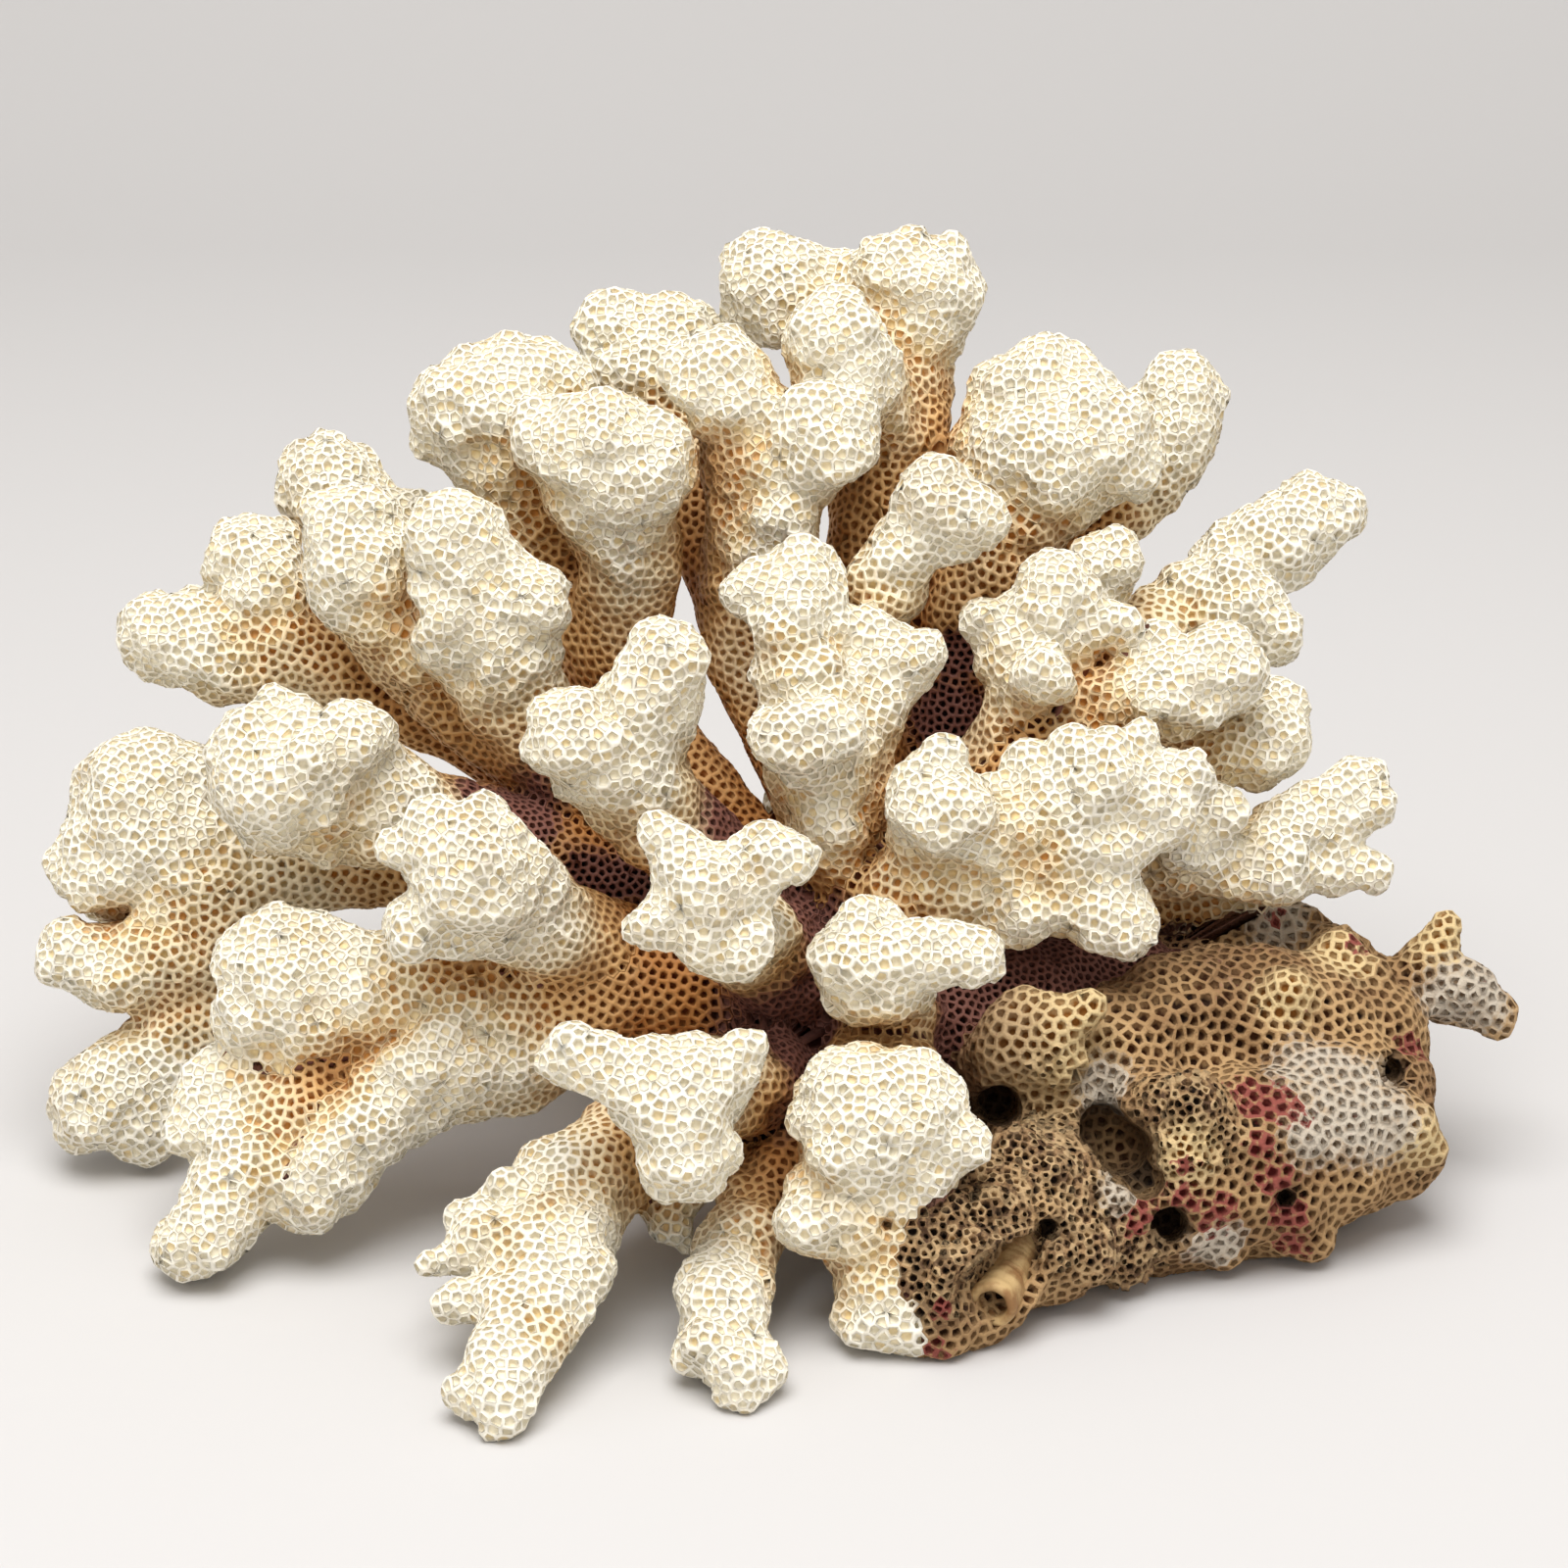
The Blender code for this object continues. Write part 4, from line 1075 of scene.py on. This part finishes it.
# Holes that go straight in to the foot: (across, down, radius, radius at the end).
HOLES = [
    (1020, 1130, 20, 17), (1130, 1156, 24, 20), (1150, 1178, 26, 22), (1170, 1206, 16, 16),
    (1195, 1252, 18, 15), (1424, 1094, 15, 11), (1070, 1256, 11, 9), (1314, 1224, 11, 8),
    (995, 1222, 5, 5), (905, 1250, 7, 6), (1100, 1096, 6, 5),
]
HOLE_SWELL = 1.2  # a hole is cut this much wider than it is drawn
HOLE_USUAL = 24  # drawn radius of a hole that goes in by HOLE_DEPTH
HOLE_SHADE = 0.8  # how far the painted shade inside a hole reaches, as a share of its radius
HOLE_DEPTH = 9 * MM
# The hollow that the worm tube stands in
NICHE = [(1046, 1272, 196, 22), (1028, 1316, 256, 46), (1010, 1352, 330, 74)]


INWARD = np.array((0, math.cos(VIEW_RISE), -math.sin(VIEW_RISE)))


def bore(grid, field, ends, radii):
    """Takes a tapered rod out of the coral."""
    reach = max(radii) + 2 * MM
    near = grid.window(ends.min(0) - reach, ends.max(0) + reach)
    gap = rod_distance(grid.spots(near), ends, radii).astype(np.float32)
    field[near] = np.maximum(field[near], -gap)


def carve(grid, field):
    """Sinks the holes into the foot, and gives the balls inside them where shade is painted."""
    balls = []
    for x, y, wide, narrow in HOLES:
        mouth = seen_at(grid, field, x, y)
        ends = np.stack([mouth - INWARD * 2 * MM, mouth + INWARD * HOLE_DEPTH * wide / HOLE_USUAL])
        radii = np.array((wide, narrow)) * DIVISION * HOLE_SWELL
        for share in (0.15, 0.5, 0.9):
            balls.append((mouth + INWARD * share * HOLE_DEPTH, radii[0] * HOLE_SHADE))
        bore(grid, field, ends, radii)
    return balls


TIPLESS = ("trunk", "base_rock")
TIPPED = [limb for name, group in LIMBS.items() if name not in TIPLESS for limb in group]


def own_tips(spots, owner, width):
    """How near each spot is to the tips of its own branch."""
    near = np.zeros(len(spots))
    for number, (name, limbs) in enumerate(LIMBS.items()):
        mine = owner == number
        if name not in TIPLESS and mine.any():
            near[mine] = nearness(spots[mine], limbs, width)
    return near


def grow(rng):
    """The colony's skin, divided into cups."""
    limbs = [limb for group in LIMBS.values() for limb in group]
    ends = [place(limb) for limb in limbs]
    low = np.min([(c - r[:, None]).min(0) for c, r in ends], axis=0) - 3 * MM
    high = np.max([(c + r[:, None]).max(0) for c, r in ends], axis=0) + 3 * MM
    low[2] = -3 * MM
    grid = Grid(low, high, GRAIN)
    foot = melt_limbs(grid, LIMBS["base_rock"])
    rest = melt_limbs(grid, [limb for limb in limbs if limb not in LIMBS["base_rock"]])
    dead = foot / (foot + rest + 1e-12)
    field = (-MELT * np.log(foot + rest + 1e-13)).astype(np.float32) + THINNED
    # How near each point is to a tip, worked out on a coarse grid
    ratio = 6
    coarse = Grid(grid.low, grid.low + grid.size * grid.step, grid.step * ratio)
    middle = coarse.spots(tuple(slice(0, n) for n in coarse.size))
    near = nearness(middle.reshape(-1, 3), TIPPED, 17 * MM).reshape(coarse.size)
    near = spread(near.astype(np.float32), grid.size, ratio) * (1 - dead)
    fat, lean = lumps(rng, grid, 5.5 * MM), lumps(rng, grid, 2.8 * MM)
    grit = lumps(rng, grid, 1.4 * MM)
    field -= near * (0.3 + 1.25 * fat + 0.85 * lean) * MM
    field -= (1 - dead) * (0.2 * fat + 0.12 * lean) * MM
    field -= dead * (0.9 * fat + 0.55 * lean + 0.28 * grit) * MM
    floor = -grid.axes[2][None, None, :].astype(np.float32)
    scatter = scatter_recipe()
    skin = skin_of(grid, np.maximum(field, floor), "skin")
    melted = np.exp(-np.clip(field, -MARGIN, MARGIN) / KNOB_MELT)
    for apart, small, big, lowest, highest, seed in HEAD_KNOBS:
        spots, facing = strew(scatter, skin, apart, seed)
        tip = nearness(spots, TIPPED, TIP_LENGTH)
        kept = (rng.random(len(spots)) < 0.14 + 0.8 * tip) & (spots[:, 2] > 1 * MM)
        spots, facing, tip = spots[kept], facing[kept], tip[kept]
        radii = rng.uniform(small, big, len(spots))
        rise = lowest + (highest - lowest) * tip * rng.uniform(0.3, 1.0, len(spots))
        add_balls(grid, melted, spots + facing * (rise - radii)[:, None], radii, big + 1.8 * MM)
    for x, y, radius, rise in KNOBS:
        size = radius * DIVISION
        centre = seen_at(grid, field, x, y) - INWARD * (rise * DIVISION - size)
        add_balls(grid, melted, centre[None], np.array([size]), size + 1.8 * MM)
    field = np.maximum(-KNOB_MELT * np.log(melted), floor)
    marks_and_shade = {
        name: [(seen_at(grid, field, x, y), radius * DIVISION) for x, y, radius in marks]
        for name, marks in MARKS.items()
    }
    for ends, radii in rods_of(NICHE):
        bore(grid, field, ends, radii)
    marks_and_shade["hole"] = carve(grid, field)
    skin = skin_of(grid, field, "skin")
    fine = finer_recipe().make(skin, "fine")
    kept = []
    for kind, pitch in enumerate((CUP_PITCH, HEART_PITCH, FOOT_PITCH, ROUGH_PITCH)):
        seeds = strew(scatter, skin, pitch, 2 + 5 * kind)[0]
        heart, rough = (fade_in_balls(seeds, marks_and_shade[name]) > 0.5 for name in ("heart", "rough"))
        if kind < 2:
            heart &= own_tips(seeds, depths_in(seeds, LIMBS.values()).argmin(1), AGE_LENGTH) < 0.5
        on_foot = grid.sample(dead, seeds) > 0.5
        own = np.where(on_foot, np.where(rough, 3, 2), np.where(heart, 1, 0))
        kept.append(seeds[own == kind])
    seeds = np.concatenate(kept)
    seeds, sides, owners, rings = divide(fine, seeds)
    corners, facing = meeting_spots(fine, sides, owners, seeds)
    return grid, field, dead, marks_and_shade, corners, facing, rings


def crowding(grid, field, spots):
    """How much of the space round each spot is coral."""
    step, reach = 4, 3
    shape = [n // step for n in field.shape]
    solid = (field < 0).astype(np.float32)[tuple(slice(0, n * step) for n in shape)]
    solid = solid.reshape(shape[0], step, shape[1], step, shape[2], step).mean((1, 3, 5))
    for axis in (0, 0, 1, 1, 2, 2):
        sides = [(reach, reach) if a == axis else (0, 0) for a in range(3)]
        padded = np.pad(solid, sides, mode="edge")
        shifts = [range(i, i + shape[axis]) for i in range(2 * reach + 1)]
        solid = sum(np.take(padded, shift, axis=axis) for shift in shifts) / len(shifts)
    coarse = Grid(grid.low, grid.low, grid.step * step)
    coarse.size = np.array(shape)
    return coarse.sample(solid, spots)


def mode_of(rows):
    """The commonest of the numbers in each row, leaving out -1."""
    same = (rows[:, :, None] == rows[:, None, :]).sum(2)
    same[rows < 0] = -1
    return rows[np.arange(len(rows)), same.argmax(1)]


def share_out(centres, neighbours):
    """The group of limbs that each cell belongs to, with no stray islands."""
    owner = depths_in(centres, LIMBS.values()).argmin(1)
    padded = neighbours < 0
    for _ in range(3):
        near = np.where(padded, -1, owner[neighbours])
        alone = (near == owner[:, None]).sum(1) < 2
        owner[alone] = mode_of(near[alone])
    for _ in range(4):
        island = np.arange(len(owner))
        while True:
            near = np.where(padded, len(owner), island[neighbours])
            near[~padded & (owner[neighbours] != owner[:, None])] = len(owner)
            lower = np.minimum(island, near.min(1))
            lower = lower[lower]
            if (lower == island).all():
                break
            island = lower
        small = np.bincount(island, minlength=len(owner))[island] < 30
        if not small.any():
            break
        near = np.where(padded, -1, owner[neighbours])
        near[near == owner[:, None]] = -1
        edge = small & (near >= 0).any(1)
        owner[edge] = mode_of(near[edge])
    return owner


def close_up(spots, starts, ends, inner):
    """Caps the holes that cutting a skin leaves: a fan for each ring of free edges."""
    following = {}
    for start, end in zip(starts, ends):
        following.setdefault(start, []).append(end)
    inner = dict(zip(starts, inner))
    faces, middles, facts = [], [], []
    for start in list(following):
        if not following[start]:
            continue
        ring = [start]
        while (here := following[ring[-1]].pop()) != start:
            ring.append(here)
        ring_spots = spots[ring]
        push = np.mean([inner[r] for r in ring], axis=0) - ring_spots.mean(0)
        push /= max(np.linalg.norm(push), 1e-9)
        middle = ring_spots.mean(0)
        span = np.linalg.norm(ring_spots - middle, axis=1).max()
        for a, b in zip(ring, ring[1:] + ring[:1]):
            faces.append((b, a, len(spots) + len(middles)))
            facts.append((*middle, *push, span, len(middles)))
        middles.append(middle + push * 1.2 * MM)
    return faces, middles, np.array(facts).reshape(-1, 8)


def cup_facts(rng, grid, field, dead, marks_and_shade, owner, centres, facings, reach):
    """What each cup is like, as values from 0 to 1 and as lengths."""
    spots = centres - facings * 0.3 * MM
    on_foot = (grid.sample(dead, spots) > 0.5).astype(float)
    facts = {name: fade_in_balls(centres, balls) for name, balls in marks_and_shade.items()}
    wash = 0.35 * (rng.random(len(centres)) - 0.5)
    age = np.clip(1.1 - 1.2 * own_tips(centres, owner, AGE_LENGTH), 0, 1)
    deep = np.clip(4 * (age - 0.25), 0, 1)
    facts["heart"] = np.clip(facts["heart"] + 0.5 * wash, 0, 1) * (1 - on_foot * 0.75) * deep
    for name in ("sandy", "chalk", "crust", "rough", "hole"):
        facts[name] = facts[name] * on_foot
    # Painted shade: how much coral crowds round a cup sets the warm shade painted in the recesses.
    crowd = crowding(grid, field, centres + facings * 2.5 * MM)
    crowd = np.clip((crowd - 0.26) / 0.36, 0, 1)
    tip = own_tips(centres, owner, TIP_LENGTH)
    luck = rng.random(len(centres))
    old = np.clip(age * 2.2, 0, 1)
    mouth = 0.55 - 0.17 * old + 0.12 * (rng.random(len(centres)) - 0.5)
    mouth = np.where(facts["heart"] > 0.3, 0.46, mouth)
    foot_mouth = 0.47 + 0.14 * (rng.random(len(centres)) - 0.5) - 0.2 * facts["chalk"]
    rough = facts["rough"] > 0.5
    foot_mouth = np.where(rough, rng.uniform(0.2, 0.6, len(centres)), foot_mouth)
    mouth = np.where(on_foot > 0, foot_mouth, mouth)
    lift = (0.02 + 0.14 * tip * rng.random(len(centres)) + 0.06 * old) * MM
    lift = np.where(rough & (on_foot > 0), rng.uniform(-0.3, 0.45, len(centres)) * MM, lift)
    depth = (0.27 + 0.6 * np.clip(age * 3, 0, 1) + 0.15 * rng.random(len(centres))) * MM
    depth = np.where(on_foot > 0, (0.95 - 0.5 * facts["chalk"]) * MM, depth)
    depth[centres[:, 2] < 0.3 * MM] = 0.2 * MM
    return {
        **facts,
        "age": age, "tip": tip, "crowd": crowd, "luck": luck, "mouth": mouth, "lift": lift,
        "lip": mouth + 0.12 + 0.06 * old, "floor": 0.74 - 0.18 * old, "depth": depth,
        "reach": reach,
    }


def sideways(facing):
    """A direction along the skin at each facing."""
    side = np.cross(facing, np.where(abs(facing[:, 2:]) < 0.9, (0.0, 0.0, 1.0), (1.0, 0.0, 0.0)))
    return side / np.maximum(np.linalg.norm(side, axis=1)[:, None], 1e-9)


def grow_pieces(rng):
    """Makes each branch's skin, and the trunk's and the foot's."""
    grid, field, dead, marks_and_shade, corners, facing, (cell, neighbours, rings) = grow(rng)
    # The rings number the seeds, and the rows number the rings.
    row_of = np.full(cell.max() + 1, -1)
    row_of[cell] = np.arange(len(cell))
    neighbours = np.where(neighbours < 0, -1, row_of[neighbours])
    padded = rings < 0
    counts = (~padded).sum(1)
    weights = (~padded)[:, :, None] / counts[:, None, None]
    centres = (corners[rings] * weights).sum(1)
    facings = (facing[rings] * weights).sum(1)
    facings /= np.linalg.norm(facings, axis=1)[:, None]
    owner = share_out(centres, neighbours)[row_of[cell]]
    arms = np.where(padded, 0, np.linalg.norm(corners[rings] - centres[:, None], axis=2))
    reach, span = arms.sum(1) / counts, arms.max(1)
    facts = cup_facts(rng, grid, field, dead, marks_and_shade, owner, centres, facings, reach)
    bumps = grid.sample(lumps(rng, grid, 1.9 * MM), corners)
    jut = (0.12 * rng.random(len(corners)) + 0.62 * bumps) * nearness(corners, TIPPED, 14 * MM)
    corners = corners + facing * jut[:, None] * MM
    cups = cups_recipe()
    looks = finishes()
    for number, name in enumerate(LIMBS):
        mine = np.flatnonzero(owner == number)
        my_rings = rings[mine]
        solid_ring = my_rings >= 0
        used, local = np.unique(my_rings[solid_ring], return_inverse=True)
        table = np.full(my_rings.shape, -1)
        table[solid_ring] = local
        last = solid_ring.sum(1) - 1
        rows = np.arange(len(mine))
        following, across = np.roll(table, -1, axis=1), np.roll(neighbours[mine], -1, axis=1)
        following[rows, last] = table[:, 0]
        across[rows, last] = neighbours[mine][:, 0]
        free = solid_ring & (owner[across] != number)
        inner = centres[mine][np.nonzero(free)[0]]
        faces, middles, caps = close_up(corners[used], table[free], following[free], inner)
        spots = np.concatenate([corners[used], np.reshape(middles, (-1, 3))])
        all_corners = np.concatenate([local, np.array(faces, int).reshape(-1)])
        sizes = np.concatenate([last + 1, np.full(len(faces), 3)])
        mesh = flat_mesh(name, spots, all_corners, sizes)
        for fact, values in facts.items():
            made = mesh.attributes.new(fact, "FLOAT", "FACE")
            values = np.concatenate([values[mine], np.full(len(faces), HIDDEN.get(fact, 0.0))])
            made.data.foreach_set("value", values.astype(np.float32))
        # Each cup has a tile of its own on the piece's flat map.
        tiles = math.ceil(math.sqrt(len(mine) + len(middles)))
        tile = np.concatenate([rows, len(mine) + caps[:, 7].astype(int)])
        where = np.stack([tile % tiles + 0.5, tile // tiles + 0.5, 0 * tile], 1) / tiles
        scale = 0.46 / tiles / np.concatenate([span[mine], caps[:, 6]])[:, None]
        facing_of = np.concatenate([facings[mine], caps[:, 3:6]])
        side = sideways(facing_of)
        vectors = {
            "centre": np.concatenate([centres[mine], caps[:, :3]]),
            "facing": facing_of,
            "tile": where,
            "east": side * scale,
            "north": np.cross(facing_of, side) * scale,
        }
        for fact, values in vectors.items():
            made = mesh.attributes.new(fact, "FLOAT_VECTOR", "FACE")
            made.data.foreach_set("vector", values.astype(np.float32).ravel())
        mesh.attributes.new("pit", "FLOAT", "POINT")
        cupped = cups.make(mesh, name)
        bpy.data.meshes.remove(mesh)
        for fact in ("tile", "east", "north", "lip", "lift", "floor", "depth"):
            cupped.attributes.remove(cupped.attributes[fact])
        settle(name, cupped, looks.get(name, looks["coral"]))
    return looks


# What the hidden faces are like where two pieces part: painted dark, like the deep shade round
# them.
HIDDEN = {"age": 1.0, "crowd": 1.0, "heart": 1.0, "reach": 1.0}


def settle(name, mesh, finish):
    """Puts a finished mesh in the place of the node of this name."""
    mesh.materials.clear()
    mesh.materials.append(finish)
    mesh.shade_smooth()
    mesh.name = name + "_skin"
    piece = bpy.data.objects.new(name + "_skin", mesh)
    bpy.context.scene.collection.objects.link(piece)
    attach(piece, "root")
    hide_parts(name)


# The worm tube's line, from the rock to its open mouth, and its bore
TUBE_LINE = [
    (1052, 1236, 128, 19), (1041, 1264, 160, 21), (1027, 1304, 194, 22), (1013, 1330, 232, 26),
]
TUBE_SIDES = 72
TUBE_RINGS = 120
BORE_SHARE = 0.60


def worm_tube(rng, finish):
    """A limy tube with growth rings, open at its mouth, where the bore goes in."""
    centres, radii = place(TUBE_LINE)
    way = np.linspace(0, len(TUBE_LINE) - 1, TUBE_RINGS)
    knots = np.arange(len(TUBE_LINE))
    line = np.stack([np.interp(way, knots, centres[:, i]) for i in range(3)], 1)
    for _ in range(12):
        line[1:-1] = (line[:-2] + 2 * line[1:-1] + line[2:]) / 4
    wide = np.interp(way, knots, radii)
    growth = np.interp(way, np.linspace(0, 3, 26), rng.uniform(-1, 1, 26))
    fine = np.interp(way, np.linspace(0, 3, 60), rng.uniform(-1, 1, 60))
    wide = wide * (1 + 0.045 * growth + 0.025 * fine)
    run = np.gradient(line, axis=0)
    run /= np.linalg.norm(run, axis=1)[:, None]
    side = sideways(run)
    turn = 2 * math.pi * np.arange(TUBE_SIDES) / TUBE_SIDES
    wobble = 1 + 0.02 * np.sin(3 * turn + 1) + 0.012 * np.sin(7 * turn)
    across, over = side[:, None], np.cross(run, side)[:, None]
    arm = np.cos(turn)[:, None] * across + np.sin(turn)[:, None] * over
    arm *= wobble[:, None]
    inner = int(TUBE_RINGS * 0.55)
    back = np.arange(TUBE_RINGS - 1, inner, -1)
    lip = [(0.97, 0.35), (0.90, 0.55), (0.80, 0.60), (0.70, 0.5), (0.63, 0.25)]
    rings = [line[i] + arm[i] * wide[i] for i in range(TUBE_RINGS)]
    pits = [0.0] * TUBE_RINGS
    for share, out in lip:
        rings.append(line[-1] + run[-1] * out * MM + arm[-1] * wide[-1] * share)
        pits.append(0.0)
    # The bore's rings: pit is how far down the bore, where shade is painted.
    for i in back:
        rings.append(line[i] + arm[i] * wide[-1] * BORE_SHARE)
        pits.append(min(1.0, 0.3 + (TUBE_RINGS - 1 - i) / 20))
    spots = np.concatenate([*rings, line[:1], line[back[-1:]]])
    count = len(rings)
    i, j = np.meshgrid(np.arange(count - 1), np.arange(TUBE_SIDES), indexing="ij")
    k = (j + 1) % TUBE_SIDES
    quads = np.stack([i, i, i + 1, i + 1], -1) * TUBE_SIDES + np.stack([j, k, k, j], -1)
    j = np.arange(TUBE_SIDES)
    k = (j + 1) % TUBE_SIDES
    end, last = count * TUBE_SIDES, (count - 1) * TUBE_SIDES
    fans = np.concatenate([
        np.stack([k, j, np.full(TUBE_SIDES, end)], 1),
        np.stack([last + j, last + k, np.full(TUBE_SIDES, end + 1)], 1),
    ])
    corners = np.concatenate([quads.reshape(-1), fans.reshape(-1)])
    mesh = flat_mesh("tube", spots, corners, [4] * (quads.size // 4) + [3] * len(fans))
    made = mesh.attributes.new("pit", "FLOAT", "POINT")
    pits = np.concatenate([np.repeat(pits, TUBE_SIDES), [0, 1]])
    made.data.foreach_set("value", pits.astype(np.float32))
    settle("worm_tube", mesh, finish)


def main():
    """Grows the coral, cuts it into its pieces and adds the worm tube."""
    rng = np.random.default_rng(11)
    looks = grow_pieces(rng)
    worm_tube(rng, looks["worm_tube"])


def cups_recipe():
    """Sinks a cup into each face that has a depth: a lip, a mouth inside it, and a floor."""
    t = Recipe("cups")
    centre, facing = t.named("centre", "FLOAT_VECTOR"), t.named("facing", "FLOAT_VECTOR")
    depth, reach, lift = t.named("depth"), t.named("reach"), t.named("lift")
    spot = t.node("GeometryNodeInputPosition")
    arm = t.vector("SUBTRACT", spot, centre)
    height = t.vector("DOT_PRODUCT", arm, facing, out="Value")
    flat = t.vector("SUBTRACT", arm, t.vector("SCALE", facing, scale=height))
    length = t.vector("LENGTH", flat, out="Value")

    def ringed(geometry, chosen, share, kept_height, drop, roundness, pit):
        """Another ring inside the chosen faces, this share of the cup's reach wide."""
        geometry = t.node(
            "GeometryNodeExtrudeMesh",
            {"mode": "FACES"},
            {"Mesh": geometry, "Selection": chosen, "Offset Scale": 0.0, "Individual": True},
        )
        top = Socket(t, t.last.outputs["Top"])
        wide = share * (1 + (reach / length - 1) * roundness)
        across = t.vector("SCALE", flat, scale=wide)
        up = t.vector("SCALE", facing, scale=height * kept_height - drop)
        moved = t.vector("ADD", t.vector("ADD", centre, across), up)
        geometry = t.node(
            "GeometryNodeSetPosition",
            None,
            {"Geometry": geometry, "Selection": top, "Position": moved},
        )
        return t.store(geometry, "pit", pit, where=top), top

    lip, mouth = t.named("lip"), t.named("mouth")
    # pit runs from the lip to the floor of each cup; the finishes paint shade by it.
    ring, top = ringed(t.input["Geometry"], depth > 0.0, lip, 0.8, 0 - lift, 0.75, 0.12)
    ring, top = ringed(ring, top, mouth / lip, 0.8, depth * 0.14 - lift, 0.9, 0.4)
    ring, top = ringed(ring, top, t.named("floor"), 0.3, depth, 0.5, 1.0)
    u = t.vector("DOT_PRODUCT", arm, t.named("east", "FLOAT_VECTOR"), out="Value")
    v = t.vector("DOT_PRODUCT", arm, t.named("north", "FLOAT_VECTOR"), out="Value")
    flat_spot = t.node("ShaderNodeCombineXYZ", None, {0: u, 1: v})
    flat_spot = t.vector("ADD", flat_spot, t.named("tile", "FLOAT_VECTOR"))
    return t.finish(t.store(ring, "OFBake", flat_spot, "FLOAT2", "CORNER"))


def sweep(name, finish):
    """A floor that curves up into a backdrop."""
    profile = [(-1.2, 0.0), (0.55, 0.0)]
    for step in range(1, 13):
        turn = math.pi / 2 * step / 12
        profile.append((0.55 + 0.35 * math.sin(turn), 0.35 - 0.35 * math.cos(turn)))
    profile.append((0.9, 1.6))
    spots = [(x, y, z) for x in (-2.0, 2.0) for y, z in profile]
    count = len(profile)
    corners = [c for i in range(count - 1) for c in (i, count + i, count + i + 1, i + 1)]
    mesh = flat_mesh(name, spots, corners, [4] * (count - 1))
    mesh.shade_smooth()
    mesh.materials.append(finish)
    floor = bpy.data.objects.new(name, mesh)
    bpy.context.scene.collection.objects.link(floor)


def lamp(name, where, aim, size, power):
    """A square lamp that faces a spot."""
    light = bpy.data.lights.new(name, "AREA")
    light.shape = "DISK"
    light.size = size
    light.energy = power
    body = bpy.data.objects.new(name, light)
    body.location = where
    body.rotation_euler = (Vector(aim) - Vector(where)).to_track_quat("-Z", "Y").to_euler()
    bpy.context.scene.collection.objects.link(body)


def light_up():
    """Lays the floor and sets the lamp, the sky's light and the camera."""
    sweep("studio_sweep", plain_finish("paper", (207, 205, 204), 0.9))
    lamp("sky_box", (-0.05, -0.22, 0.9), (0, 0, 0.03), 0.8, 8.6)

    world = bpy.data.worlds.new("studio")
    world.use_nodes = True
    world.node_tree.nodes["Background"].inputs["Color"].default_value = (1.0, 0.975, 0.94, 1)
    world.node_tree.nodes["Background"].inputs["Strength"].default_value = 0.67
    bpy.context.scene.world = world
    bpy.context.scene.view_settings.view_transform = "Standard"

    lens = bpy.data.cameras.new("camera")
    lens.sensor_width = 36
    lens.lens = 36 * VIEW_DISTANCE / (1600 * DIVISION)
    camera = bpy.data.objects.new("camera", lens)
    away = Vector((0, -math.cos(VIEW_RISE), math.sin(VIEW_RISE)))
    camera.location = Vector(HEART) + VIEW_DISTANCE * away
    camera.rotation_euler = (-away).to_track_quat("-Z", "Y").to_euler()
    bpy.context.scene.collection.objects.link(camera)
    bpy.context.scene.camera = camera


main()
light_up()
